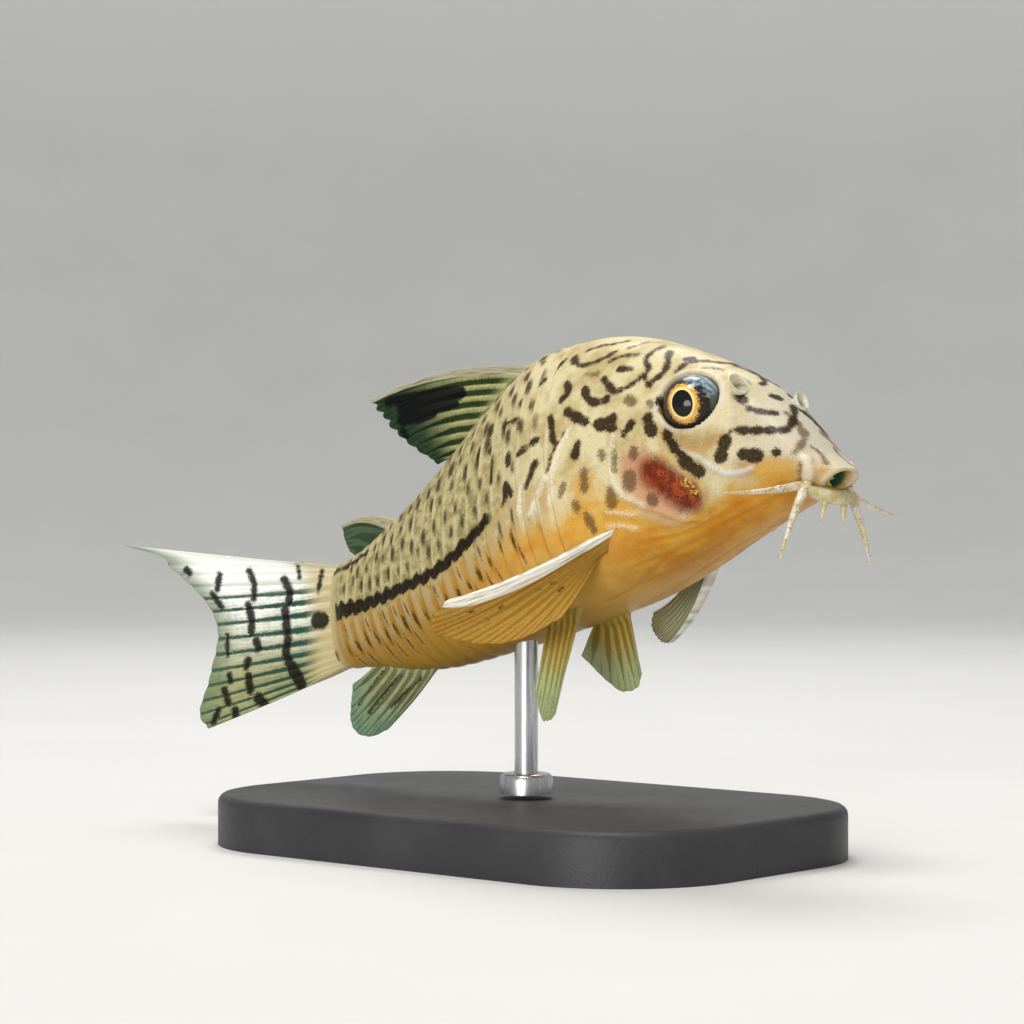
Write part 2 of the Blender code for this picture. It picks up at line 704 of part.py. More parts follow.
def root_on_flank(front, rear, clearance):
    """The root line of a paired fin, from one (station, angle) of the skin to another."""

    def at(t):
        s, angle = (between(a, b, t) for a, b in zip(front, rear))
        return flesh(s, angle, clearance + plate_lift(s, angle))

    return at


def make_middle_fins(collection, surface):
    """The dorsal, adipose, anal and caudal fins, which stand on the middle line."""
    roots = root_along(back_line, DORSAL_ROOT, MIDDLE_FIN_CLEARANCE)
    fin("dorsal_fin", fan(9, roots, through(*DORSAL_TIPS), rise=0.012), collection, surface, rows=9)
    roots = root_along(back_line, ADIPOSE_ROOT, MIDDLE_FIN_CLEARANCE)
    fin("adipose_fin", fan(4, roots, through(*ADIPOSE_TIPS), rise=0.008), collection, surface, rows=6)
    roots = root_along(belly_line, ANAL_ROOT, -MIDDLE_FIN_CLEARANCE)
    fin("anal_fin", fan(8, roots, through(*ANAL_TIPS), rise=-0.006), collection, surface, rows=7)

    def caudal_root(t):
        s, _, level = flesh(tail_end(math.pi * t), math.pi * t)
        return s + CAUDAL_CLEARANCE, 0.0, level * CAUDAL_ROOT_SHARE

    rays = fan(15, caudal_root, through(*CAUDAL_TIPS))
    fin("caudal_fin", rays, collection, surface, rows=9, has_spine=False)


def make_paired_fins(word, side, collection, surface):
    """One side's pectoral fin, swept back on its strong spine, and its pelvic fin."""
    roots = root_on_flank(PECTORAL_SPINE_ROOT, PECTORAL_LAST_ROOT, PECTORAL_CLEARANCE)
    rays = fan(9, roots, through(*PECTORAL_TIPS[word]), side, lean=0.010)
    fin(f"pectoral_fin_{word}", rays, collection, surface, rows=9)
    roots = root_on_flank(PELVIC_FIRST_ROOT, PELVIC_LAST_ROOT, PELVIC_CLEARANCE)
    rays = fan(6, roots, through(*PELVIC_TIPS[word]), side)
    fin(f"pelvic_fin_{word}", rays, collection, surface, rows=7, has_spine=False)


def make_barbels(word, side, collection, surface):
    """One side's two soft barbels, which taper from the corner of the mouth."""
    for kind, (root, middle, tip, radius) in BARBELS.items():
        path = bow(*(on_side(place, side) for place in (root, middle, tip)), BARBEL_POINTS)
        radii = [radius * L * (1 - BARBEL_TAPER * k / (BARBEL_POINTS - 1)) for k in range(BARBEL_POINTS)]
        tube(f"{kind}_{word}", path, radii, collection, surface)


def make_stand(collection, base_surface, rod_surface, trunk):
    """A flat base with rounded corners, and one steel rod in a collar, up to the belly."""
    thick = BASE_SIZE[2]
    bm = bmesh.new()
    bmesh.ops.create_cube(bm, size=1)
    bmesh.ops.scale(bm, vec=BASE_SIZE, verts=bm.verts)
    bmesh.ops.translate(bm, vec=(0, 0, thick / 2), verts=bm.verts)
    uprights = [e for e in bm.edges if e.verts[0].co.xy == e.verts[1].co.xy]
    settings = {"profile": 0.5, "affect": "EDGES", "material": -1}
    bmesh.ops.bevel(bm, geom=uprights, offset=BASE_CORNER, segments=8, **settings)
    top = max(bm.faces, key=lambda face: face.calc_center_median().z)
    bmesh.ops.bevel(bm, geom=top.edges[:], offset=BASE_EDGE, segments=2, **settings)
    add("stand_base", mesh_from(bm, "stand_base"), collection, base_surface)

    foot = thick + GAP
    bm = bmesh.new()
    bmesh.ops.create_cone(
        bm, cap_ends=True, segments=16, radius1=COLLAR_RADIUS, radius2=COLLAR_RADIUS, depth=COLLAR_HEIGHT,
        matrix=Matrix.Translation((0, 0, foot + COLLAR_HEIGHT / 2)),
    )
    rim = max(bm.faces, key=lambda face: face.calc_center_median().z).edges[:]
    bmesh.ops.bevel(bm, geom=rim, offset=COLLAR_EDGE, segments=2, **settings)
    collar = add("stand_rod", mesh_from(bm, "stand_rod"), collection, rod_surface)
    bm = bmesh.new()
    height = ROD_TOP - foot
    bmesh.ops.create_cone(
        bm, cap_ends=True, segments=16, radius1=ROD_RADIUS, radius2=ROD_RADIUS, depth=height,
        matrix=Matrix.Translation((0, 0, foot + height / 2)),
    )
    belly = BVHTree.FromObject(trunk, bpy.context.evaluated_depsgraph_get())
    for vert in bm.verts:
        if vert.co.z > foot + height / 2:
            under = Vector((vert.co.x, vert.co.y, foot))
            vert.co.z = belly.ray_cast(under, Vector((0, 0, 1)))[0].z - GAP
    pieces = pieces_collection("rod")
    add("rod", mesh_from(bm, "rod"), pieces)
    work_in(collar, pieces, "UNION")


for old in list(bpy.data.objects):
    bpy.data.objects.remove(old)
catfish = bpy.data.collections.new("corydoras_catfish")
bpy.context.scene.collection.children.link(catfish)
skin = finish("skin", (0.70, 0.58, 0.34), 0.40)
fin_web = finish("fin", (0.62, 0.64, 0.50), 0.45)
eyeball = finish("eye", (0.05, 0.045, 0.03), 0.12)
barbel_skin = finish("barbel", (0.72, 0.66, 0.47), 0.45)
black_base = finish("stand_base", (0.045, 0.045, 0.05), 0.5)
steel = finish("stand_rod", (0.60, 0.61, 0.62), 0.25, 1.0)

trunk_body = make_trunk(catfish, skin)
make_tail_stalk(catfish, skin)
make_head(catfish, skin)
make_middle_fins(catfish, fin_web)
for side_word, side_sign in (("left", 1), ("right", -1)):
    make_eye(side_sign, f"eye_{side_word}", catfish, eyeball)
    make_paired_fins(side_word, side_sign, catfish, fin_web)
    make_barbels(side_word, side_sign, catfish, barbel_skin)
make_stand(catfish, black_base, steel, trunk_body)
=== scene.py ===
import math
from functools import partial

import bmesh
import bpy
import numpy as np
from mathutils import Matrix, Vector
from mathutils.bvhtree import BVHTree
from mathutils.interpolate import poly_3d_calc
from mathutils.kdtree import KDTree


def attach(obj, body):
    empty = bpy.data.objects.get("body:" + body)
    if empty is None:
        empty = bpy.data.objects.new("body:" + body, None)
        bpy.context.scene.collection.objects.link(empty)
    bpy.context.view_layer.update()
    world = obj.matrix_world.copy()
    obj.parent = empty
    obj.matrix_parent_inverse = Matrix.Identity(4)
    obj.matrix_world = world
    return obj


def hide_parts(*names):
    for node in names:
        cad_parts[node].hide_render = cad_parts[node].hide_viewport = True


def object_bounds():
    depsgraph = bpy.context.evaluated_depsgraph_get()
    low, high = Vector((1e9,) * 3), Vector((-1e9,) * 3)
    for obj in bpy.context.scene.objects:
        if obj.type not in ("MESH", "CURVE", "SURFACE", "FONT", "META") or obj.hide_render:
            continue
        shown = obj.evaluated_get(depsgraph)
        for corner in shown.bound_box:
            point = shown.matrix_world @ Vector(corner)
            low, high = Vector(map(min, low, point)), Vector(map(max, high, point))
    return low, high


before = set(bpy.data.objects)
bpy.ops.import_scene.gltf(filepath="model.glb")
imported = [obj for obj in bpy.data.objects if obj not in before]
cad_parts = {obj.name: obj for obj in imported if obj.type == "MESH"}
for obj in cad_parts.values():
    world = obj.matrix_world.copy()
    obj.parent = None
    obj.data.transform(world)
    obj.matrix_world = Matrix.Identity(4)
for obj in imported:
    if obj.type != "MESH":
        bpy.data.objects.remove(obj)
cad_low, cad_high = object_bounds()

# The viewpoint. A long lens looks level at the fish from ahead of its right side, so that its
# marks can be laid on from where they show in the picture.
VIEW_FROM = Vector((0.12610454, -0.14654751, 0.02291478))
VIEW_TURN = math.radians(41)
LENS = 100
SENSOR = 36
PICTURE_SIDE = 1024
view_ahead = Vector((-math.sin(VIEW_TURN), math.cos(VIEW_TURN), 0))
view_right = Vector((math.cos(VIEW_TURN), math.sin(VIEW_TURN), 0))


def sight_line(x, y):
    """The direction from the viewpoint through a point of the picture."""
    across = (x - PICTURE_SIDE / 2) * SENSOR / LENS / PICTURE_SIDE
    down = (y - PICTURE_SIDE / 2) * SENSOR / LENS / PICTURE_SIDE
    return (view_ahead + view_right * across - Vector((0, 0, down))).normalized()


camera_data = bpy.data.cameras.new("viewpoint")
camera_data.lens = LENS
camera_data.sensor_width = SENSOR
camera_data.clip_start = 0.01
camera = bpy.data.objects.new("viewpoint", camera_data)
camera.location = VIEW_FROM
camera.rotation_euler = (math.pi / 2, 0, VIEW_TURN)
bpy.context.scene.collection.objects.link(camera)
bpy.context.scene.camera = camera


# The body. Soft skin over the skull and throat, and behind the gills two rows of bony plates on
# each side, each lapping over the next. It is one surface from the snout to the tail fin's root,
# laid round a bent backbone. Shares are of its length without the tail fin.
LENGTH = 0.048
TURN_ALONG = [
    (-0.10, -6.5), (0.30, 1.0), (0.55, 0.5), (0.80, -4.0), (1.00, 1.0), (1.30, 16.0), (1.60, 24.0),
]
TIP_ALONG = [
    (-0.10, -1.0), (0.30, -1.0), (0.55, 3.0), (0.80, -0.5), (1.00, -8.0), (1.30, -9.5), (1.60, -9.5),
]
PITCH_IN_WATER = 17.5
ROLL_IN_WATER = -6.0
ROD_STATION = 0.60
ROD_TOP = 0.0140
BACK_LINE = [
    (0.00, -0.064), (0.03, -0.030), (0.062, 0.030), (0.10, 0.080), (0.15, 0.123),
    (0.205, 0.161), (0.263, 0.196), (0.325, 0.223), (0.396, 0.239), (0.475, 0.246),
    (0.55, 0.222), (0.64, 0.180), (0.73, 0.145), (0.82, 0.118), (0.92, 0.090), (1.00, 0.084),
]
BELLY_LINE = [
    (0.00, -0.080), (0.05, -0.089), (0.10, -0.094), (0.19, -0.108), (0.28, -0.125),
    (0.36, -0.138), (0.48, -0.143), (0.60, -0.137), (0.76, -0.121), (0.82, -0.106),
    (0.88, -0.086), (0.94, -0.076), (1.00, -0.075),
]
HALF_WIDTH = [
    (0.00, 0.046), (0.05, 0.060), (0.10, 0.075), (0.15, 0.089), (0.20, 0.101),
    (0.26, 0.115), (0.32, 0.125), (0.38, 0.129), (0.45, 0.126), (0.55, 0.109),
    (0.65, 0.089), (0.75, 0.069), (0.85, 0.050), (0.95, 0.033), (1.00, 0.022),
]
WIDEST_LEVEL = [(0.00, -0.070), (0.10, -0.045), (0.40, -0.045), (0.70, -0.015), (1.00, 0.004)]
UPPER_FULLNESS = [
    (0.00, 2.0), (0.12, 2.15), (0.25, 2.15), (0.475, 1.60), (0.65, 1.75), (0.85, 2.0), (1.00, 2.3),
]
LOWER_FULLNESS = [(0.00, 2.0), (0.15, 2.2), (0.30, 2.5), (0.55, 2.5), (0.80, 2.0), (1.00, 2.3)]
SNOUT_ROUNDING = 0.045
SNOUT_LEVEL = -0.070
TAIL_END_BULGE = 0.007
TAIL_END_CAP = 0.006
PLATE_COUNT = 22
FIRST_PLATE = 0.365
LAST_PLATE = 0.985
PLATE_SLANT = 0.022
SLANT_LOST = 0.7
SLANT_LOST_FROM = 14
ROWS_MEET = math.radians(80)
AROUND = 200
HEAD_RINGS = 136
HEAD_CROWDING = 1.4
RINGS_A_PLATE = 12
END_RINGS = 20
TAIL_WEDGE = 0.75
TAIL_WEDGE_FROM = 0.92


def smooth_line(points):
    """A smooth function through points that each start with their place along the line."""
    x = np.array([p[0] for p in points], float)
    y = np.array([p[1:] for p in points], float)
    slope = np.gradient(y, x, axis=0)

    def at(station):
        s = np.clip(np.asarray(station, float), x[0], x[-1])
        i = np.clip(np.searchsorted(x, s, side="right") - 1, 0, len(x) - 2)
        run = (x[i + 1] - x[i])[..., None]
        t = (s - x[i])[..., None] / run
        value = (
            (2 * t**3 - 3 * t**2 + 1) * y[i]
            + (t**3 - 2 * t**2 + t) * run * slope[i]
            + (3 * t**2 - 2 * t**3) * y[i + 1]
            + (t**3 - t**2) * run * slope[i + 1]
        )
        return value[..., 0] if y.shape[1] == 1 else value

    return at


def ease(t):
    """0 before 0, 1 after 1, and a soft rise between."""
    t = np.clip(t, 0, 1)
    return t * t * (3 - 2 * t)


def between(a, b, t):
    """The value a share t of the way from a to b."""
    return a + (b - a) * t


back_line, belly_line, half_width = (smooth_line(p) for p in (BACK_LINE, BELLY_LINE, HALF_WIDTH))
widest_level, upper_fullness, lower_fullness = (
    smooth_line(p) for p in (WIDEST_LEVEL, UPPER_FULLNESS, LOWER_FULLNESS)
)

spine_stations = np.linspace(TURN_ALONG[0][0], TURN_ALONG[-1][0], 400)
spine_turn, spine_tip = smooth_line(TURN_ALONG), smooth_line(TIP_ALONG)
pitched = Matrix.Rotation(math.radians(-PITCH_IN_WATER), 3, "Y")
held = pitched @ Matrix.Rotation(math.radians(ROLL_IN_WATER), 3, "X")
spine_axes = []
for station in spine_stations:
    turned = Matrix.Rotation(math.radians(float(spine_turn(station))), 3, "Z")
    tipped = Matrix.Rotation(math.radians(-float(spine_tip(station))), 3, "Y")
    spine_axes.append(np.array(held @ turned @ tipped))
spine_forward, spine_left, spine_up = (np.array([axes[:, k] for axes in spine_axes]) for k in range(3))
spine_step = (spine_stations[1] - spine_stations[0]) * LENGTH
spine_places = np.zeros((len(spine_stations), 3))
spine_places[1:] = -np.cumsum((spine_forward[1:] + spine_forward[:-1]) / 2 * spine_step, axis=0)


def along_spine(values, s):
    """The value at station s of something sampled along the backbone."""
    return np.stack([np.interp(s, spine_stations, values[:, k]) for k in range(3)], axis=-1)


def posed(s, left, up):
    """The place in the posed fish of a point of the straight one. All three are shares."""
    s, left, up = np.broadcast_arrays(np.asarray(s, float), left, up)
    aside = along_spine(spine_left, s) * (left * LENGTH)[..., None]
    above = along_spine(spine_up, s) * (up * LENGTH)[..., None]
    return along_spine(spine_places, s) + aside + above


spine_places += np.array([0, 0, ROD_TOP]) - posed(ROD_STATION, 0.0, belly_line(ROD_STATION))


def flesh(s, angle):
    """How far out and how far up the left side's skin is, at an angle down from the back."""
    s, angle = np.broadcast_arrays(np.asarray(s, float), np.asarray(angle, float))
    round_off = np.sqrt(1 - np.clip(1 - s / SNOUT_ROUNDING, 0, 1) ** 2)
    top, low, middle = (between(SNOUT_LEVEL, f(s), round_off) for f in (back_line, belly_line, widest_level))
    upper = angle <= math.pi / 2
    power = 2 / np.where(upper, upper_fullness(s), lower_fullness(s))
    reach = np.where(upper, top, low) - middle
    wedge = 1 - TAIL_WEDGE * ease((s - TAIL_WEDGE_FROM) / (1 - TAIL_WEDGE_FROM))
    out = np.abs(np.sin(angle)) ** power * half_width(s) * round_off * wedge
    return out, middle + np.abs(np.cos(angle)) ** power * reach


def skin_at(s, angle, side):
    """The posed place of the skin."""
    out, up = flesh(s, angle)
    return posed(s, side * out, up)


def plate_slant(angle):
    """How far the plates' edges are swept back at an angle down from the back."""
    return PLATE_SLANT * (1 - np.abs(angle - ROWS_MEET) / (math.pi - ROWS_MEET))


def plate_station(count, angle):
    """The station of a line across the body that follows the plates' edges."""
    near_tail = ease((count - SLANT_LOST_FROM) / (PLATE_COUNT - SLANT_LOST_FROM))
    swept = plate_slant(angle) * (1 - SLANT_LOST * near_tail)
    return FIRST_PLATE + count * (LAST_PLATE - FIRST_PLATE) / PLATE_COUNT + swept


body = bmesh.new()
all_rings = HEAD_RINGS + RINGS_A_PLATE * PLATE_COUNT + END_RINGS
bmesh.ops.create_uvsphere(body, u_segments=AROUND, v_segments=all_rings, radius=1)
ball = np.array([v.co for v in body.verts])
ring = np.rint(np.arccos(np.clip(ball[:, 2], -1, 1)) / math.pi * all_rings)
round_body = np.arctan2(ball[:, 1], ball[:, 0])
skin_side = np.where(round_body < 0, -1.0, 1.0)
skin_angle = np.abs(round_body)
plate_line = (ring - HEAD_RINGS - 0.5) / RINGS_A_PLATE
past_plates = (ring - HEAD_RINGS - RINGS_A_PLATE * PLATE_COUNT) / END_RINGS * 2
last_edge = plate_station(PLATE_COUNT, skin_angle)
tail_end = 1 + TAIL_END_BULGE * np.sin(skin_angle)
on_head = plate_station(0, skin_angle) * (ring / HEAD_RINGS) ** HEAD_CROWDING
on_plates = plate_station(plate_line, skin_angle)
on_tail_end = between(last_edge, tail_end, np.clip(past_plates, 0, 1))
skin_station = np.where(past_plates > 0, on_tail_end, on_plates)
skin_station = np.where(ring <= HEAD_RINGS, on_head, skin_station)
closing = np.sqrt(1 - np.clip(past_plates - 1, 0, 1) ** 2)
skin_out, skin_up = flesh(skin_station, skin_angle)
tail_middle = widest_level(1.0)
skin_up = between(tail_middle, skin_up, closing)
skin_station += TAIL_END_CAP * (1 - closing)
base_places = posed(skin_station, skin_side * skin_out * closing, skin_up)
for vert, place in zip(body.verts, base_places):
    vert.co = place
if body.calc_volume(signed=True) < 0:
    bmesh.ops.reverse_faces(body, faces=body.faces)
body.normal_update()
skin_normals = np.array([v.normal for v in body.verts])
body.verts.ensure_lookup_table()
body.faces.ensure_lookup_table()
bare_body = BVHTree.FromBMesh(body)


def place_on_skin(x, y):
    """(station, angle, side) of the skin at a point of the picture, or of the skin nearest to it."""
    ahead = sight_line(x, y)
    hit, _, face, _ = bare_body.ray_cast(VIEW_FROM, ahead)
    if hit is None:
        hit, _, face, _ = bare_body.find_nearest(VIEW_FROM + ahead * (VIEW_FROM.length * 0.99))
    corners = body.faces[face].verts
    weights = np.array(poly_3d_calc([c.co for c in corners], hit))
    which = [c.index for c in corners]
    round_there = float(weights @ (skin_side[which] * skin_angle[which]))
    return float(weights @ skin_station[which]), abs(round_there), math.copysign(1, round_there)


def smooth_stroke(points, spacing=1.6):
    """Points close together along the smooth stroke through points of the picture."""
    points = np.array(points, float)
    if len(points) == 1:
        return points
    lengths = np.hypot(*np.diff(points, axis=0).T)
    along = np.concatenate([[0], np.cumsum(lengths)])
    line = smooth_line([(a, *p) for a, p in zip(along, points)])
    return line(np.linspace(0, along[-1], max(2, int(along[-1] / spacing))))


# On the far side, which isn't seen, the marks are the near side's, moved a little.
MM_A_PIXEL = 1 / 14.9
STROKE_SWELL = 0.2
SWELL_PACE = 0.8
TURN_FOR_DRIFT = 6
FAR_SIDE_DRIFT = 0.004
draw = np.random.default_rng(11)


def skin_dots(strokes, drift):
    """Round dots (place, radius in mm) along strokes of the picture, on both sides of the body."""
    dots = []
    for radius, points in strokes:
        line = [place_on_skin(*p) for p in smooth_stroke(points)]
        stray = draw.normal(0, 1, 2) * drift
        swell = draw.uniform(0, 6)
        for k, (s, angle, side) in enumerate(line):
            here = radius * MM_A_PIXEL * (1 + STROKE_SWELL * math.sin(swell + k * SWELL_PACE))
            dots.append((skin_at(s, angle, side), here))
            dots.append((skin_at(s + stray[0], angle + stray[1] * TURN_FOR_DRIFT, -side), here))
    return dots


def nearness(finder, count, dots, far):
    """For each point, how far in mm it is outside the nearest of the dots, or far."""
    field = np.full(count, far)
    for centre, radius in dots:
        for _, index, reach in finder.find_range(Vector(centre), (radius + far) / 1000):
            field[index] = min(field[index], reach * 1000 - radius)
    return field


def find_points(places):
    """A finder for the nearest of many points."""
    finder = KDTree(len(places))
    for index, place in enumerate(places):
        finder.insert(place, index)
    finder.balance()
    return finder


# Strokes on the skin, as (half width, points), in pixels of the picture.
BLACK_STROKES = [
    (3.0, [
        (676, 372), (686, 363.7), (699, 361), (719, 362.5), (739, 365), (752, 371), (764, 378), (780, 387),
    ]),
    (4.5, [(686, 359), (692, 359)]),
    (1.8, [(760, 367.5), (770, 374), (781, 381)]),
    (1.6, [(703, 368), (713, 368), (723, 370)]),
    (3.6, [(670, 352), (668, 361), (666, 369), (658, 377), (649, 384)]),
    (4.6, [(669, 354), (668, 357)]),
    (3.0, [(664, 346), (652, 352), (645.7, 360.6), (648.8, 369), (640, 378), (627, 387), (615, 392)]),
    (4.2, [(604, 379), (609, 386), (614, 392)]),
    (2.6, [(588, 350.5), (601, 346), (613, 344), (628, 341)]),
    (2.0, [(629, 348), (638, 345), (648, 342)]),
    (3.2, [(574, 358), (578.4, 364.7), (590.6, 363.7), (603, 358.6), (616, 351.4)]),
    (4.6, [(574, 358), (575, 361)]),
    (2.6, [(609, 361.6), (621, 356.5), (637.6, 354.5)]),
    (4.0, [(620, 369), (631, 369)]),
    (4.3, [(566, 383), (569, 392), (562, 399)]),
    (4.6, [(584.5, 389), (588.6, 399.4), (596.7, 402.4), (606, 399.4)]),
    (5.4, [(567, 411.6), (576, 416.7), (585.5, 422)]),
    (4.8, [(596, 424), (613, 418)]),
    (4.6, [(600, 427), (613, 428)]),
    (4.5, [(631, 424), (623.5, 434)]),
    (5.8, [(647.5, 418), (649, 425), (652, 432)]),
    (4.7, [(666, 434), (674, 447), (686.5, 461)]),
    (5.8, [(684, 461), (692, 467), (699, 472)]),
    (4.2, [(794, 407), (793.7, 420), (788, 428.5), (774, 430), (754, 430.5), (738, 430)]),
    (1.8, [(737, 429), (730, 432), (726, 440)]),
    (6.2, [(725, 441), (722.5, 449), (721, 456)]),
    (4.4, [(738, 395), (744, 401)]),
    (3.4, [(749, 408.6), (760, 411.5), (776, 413)]),
    (4.2, [(773, 396), (779, 398)]),
    (3.8, [(795.5, 399.5), (797, 401)]),
    (6.4, [(743, 454), (757, 456)]),
    (5.2, [(775.5, 452), (777, 452.5)]),
    (5.4, [(577.5, 444), (575, 455)]),
    (4.0, [(550.4, 416), (552, 428), (553, 439), (556, 445)]),
    (2.3, [(565.5, 432), (556, 447), (550, 459), (546.6, 471)]),
    (4.0, [(537, 440), (524, 449), (518, 455)]),
    (4.4, [(535, 464), (529.4, 475.7), (526.5, 486)]),
    (4.2, [(506, 484), (505.5, 493), (502.5, 503)]),
    (4.0, [(507, 487), (511, 496)]),
    (4.0, [(508.4, 455), (508, 465)]),
    (3.4, [(492, 470), (491, 483)]),
    (3.2, [(503.6, 426), (512, 422), (518.9, 419), (518, 428)]),
    (3.8, [(520.8, 402), (520, 405)]),
    (4.0, [(491, 427), (490, 433)]),
    (3.2, [(479.5, 448), (478, 456)]),
    (3.2, [(490, 446), (489, 452)]),
    (3.4, [(545, 380), (540, 386)]),
    (3.2, [(556, 372), (560, 366), (566, 360)]),
    (10.0, [(320.5, 620.5)]),
    (3.4, [(334, 572), (345, 568), (356, 561), (368, 552)]),
]
BROWN_STROKES = [
    (3.6, [(806, 432), (803, 442), (795, 452)]),
    (4.2, [(809, 411.6), (817, 424), (825, 434)]),
    (2.4, [(740, 377), (748, 383)]),
    (3.2, [(797, 393), (798, 394)]),
    (2.8, [(585, 375), (598, 374)]),
    (4.6, [(628, 399), (632, 402)]),
    (3.2, [(649, 402), (651, 405)]),
    (3.0, [(614.5, 452), (615, 470)]),
    (6.0, [(601.5, 453), (602, 456)]),
    (4.6, [(584, 473), (584.5, 489)]),
    (5.8, [(610, 491), (612, 503)]),
    (5.8, [(633.5, 450), (633.5, 455)]),
    (7.0, [(629, 477), (629.5, 486)]),
    (4.4, [(586.5, 514), (590, 522), (594, 530)]),
    (6.0, [(651, 498), (653, 501)]),
    (4.5, [(575, 505), (577, 508)]),
    (3.0, [(534, 402), (531, 411)]),
    (4.0, [(563, 486), (560, 496)]),
    (5.0, [(337, 655), (338, 660)]),
    (2.6, [(812, 447), (820, 453), (826, 463)]),
    (1.5, [(800, 464), (800, 474), (800, 481)]),
]
WHITE_RIDGES = [
    (2.4, [(567.7, 432), (557, 456), (552.4, 476), (550.4, 504)]),
    (2.6, [(546, 478), (538, 498), (531, 514)]),
    (2.2, [(521.7, 487), (519.5, 512)]),
    (1.2, [(613.5, 432), (611.5, 452), (612.5, 478), (621, 493), (634, 500.5), (646, 506.5)]),
    (0.7, [(607, 512), (620, 513), (634, 514.5)]),
    (0.7, [(608, 527), (622, 526), (636, 529)]),
    (4.2, [(806, 460), (808, 470), (807, 480)]),
]
# The ridge under the eye is raised, and the pale lilac line along it is a painted highlight.
CHEEK_RIDGE_HIGHLIGHT = [(0.8, [(677, 447), (688, 453), (699, 457), (712, 467), (727, 473), (742, 472), (752, 468)])]
CHEEK_TAN_PATCH = [(9.0, [(668, 434), (690, 441), (714, 440)]), (8.0, [(740, 466), (775, 468), (800, 470)])]
LID_FOLD = [(0.9, [(655, 424), (664, 438), (678, 447), (694, 450), (710, 445), (722, 432)])]
GILL_COVER_RIM = [(1.6, [
    (646, 506.5), (662, 512), (690.6, 520), (706, 517), (706, 500), (700, 482), (686, 472), (664, 454),
])]
RED_GILL = [(13.0, [(650, 468), (662, 478), (678, 489), (691, 498)])]
GILL_GOLD = [(3.6, [(685, 481), (691, 486), (696, 493)])]
PINK_COVER = [(15.0, [(634, 462), (639, 480), (650, 494), (668, 505)])]
THROAT_FOLDS = [
    (1.2, [(640, 606), (690, 582), (735, 556), (772, 526)]),
    (1.2, [(632, 588), (680, 566), (728, 538), (768, 508)]),
    (1.0, [(638, 566), (690, 546), (735, 520), (782, 496)]),
    (1.0, [(640, 545), (690, 532), (740, 506), (785, 484)]),
    (1.0, [(648, 532), (690, 524), (715, 510)]),
]
ORANGE_FROM = [
    (796, 474), (765, 474), (735, 482), (708, 505), (670, 520), (640, 508), (610, 500), (585, 492),
    (560, 508), (530, 526), (500, 542), (470, 560), (440, 583), (400, 603), (360, 622), (336, 632),
]
STRIPE_LINE = [
    (540, 470), (506, 500), (480, 530), (455, 557), (440, 570), (400, 591), (370, 605), (342, 613),
    (322, 618),
]
TURN_DOWN_FLANK = 2.4
NOSTRILS_AT = {-1: (740, 389), 1: (799, 405)}
NEAR_MARK = 0.6
NEAR_PATCH = 1.0
MARKS = {
    "black": (BLACK_STROKES, FAR_SIDE_DRIFT, NEAR_MARK),
    "brown": (BROWN_STROKES, FAR_SIDE_DRIFT, NEAR_MARK),
    "white": (WHITE_RIDGES, 0, NEAR_MARK),
    "shaded_folds": (THROAT_FOLDS + LID_FOLD, 0, NEAR_MARK),
    "cheek_ridge_highlight": (CHEEK_RIDGE_HIGHLIGHT, 0, NEAR_MARK),
    "cheek_tan": (CHEEK_TAN_PATCH, 0, NEAR_PATCH),
    "cover_rim": (GILL_COVER_RIM, 0, NEAR_MARK),
    "red_gill": (RED_GILL, 0, NEAR_PATCH),
    "pink_cover": (PINK_COVER, 0, NEAR_PATCH),
    "gill_gold": (GILL_GOLD, 0, NEAR_MARK),
}


def line_on_side(pixels):
    """The angle down from the back, at each station, of a line that is drawn in the picture."""
    places = sorted(place_on_skin(*p)[:2] for p in pixels)
    return smooth_line(places)


orange_from, rows_meet = line_on_side(ORANGE_FROM), line_on_side(STRIPE_LINE)
down_a_turn = (back_line(skin_station) - belly_line(skin_station)) * LENGTH * 1000 / TURN_DOWN_FLANK
below_orange = (skin_angle - orange_from(skin_station)) * down_a_turn
below_rows = (skin_angle - rows_meet(skin_station)) * down_a_turn
nostril_spots = {side: place_on_skin(*spot)[:2] for side, spot in NOSTRILS_AT.items()}
finder = find_points(base_places)
points = len(base_places)
marks = {}
for word, (strokes, drift, far) in MARKS.items():
    marks[word] = nearness(finder, points, skin_dots(strokes, drift), far)

# The bony plates' relief, and the skull's and throat's own forms, all in mm out of the skin.
# A pair is where a fade starts and how far it runs.
PLATE_RISE = 0.17
LOWER_SWELL = 0.4
ROW_GROOVE = 0.10
GROOVE_WIDE = 0.22
SMALL_RIDGE = 0.16
FOLD_DEPTH = 0.07
GILL_RISE = 0.10
FIRST_PLATE_FADE = 0.8
BARE_BACK = math.radians(9)
PLATES_FADE = (0.93, 0.045)
BARE_CHEST = (0.46, 0.16)
BARE_BELLY = (math.radians(122), math.radians(20))


def raised(word, inside, softness):
    """1 on a mark, from this far inside its edge, and going softly to 0 outside it."""
    return 1 - ease((marks[word] + inside) / softness)


def fading_in(values, start, run):
    """0 where the values are below start, going softly to 1 over the run."""
    return ease((values - start) / run)


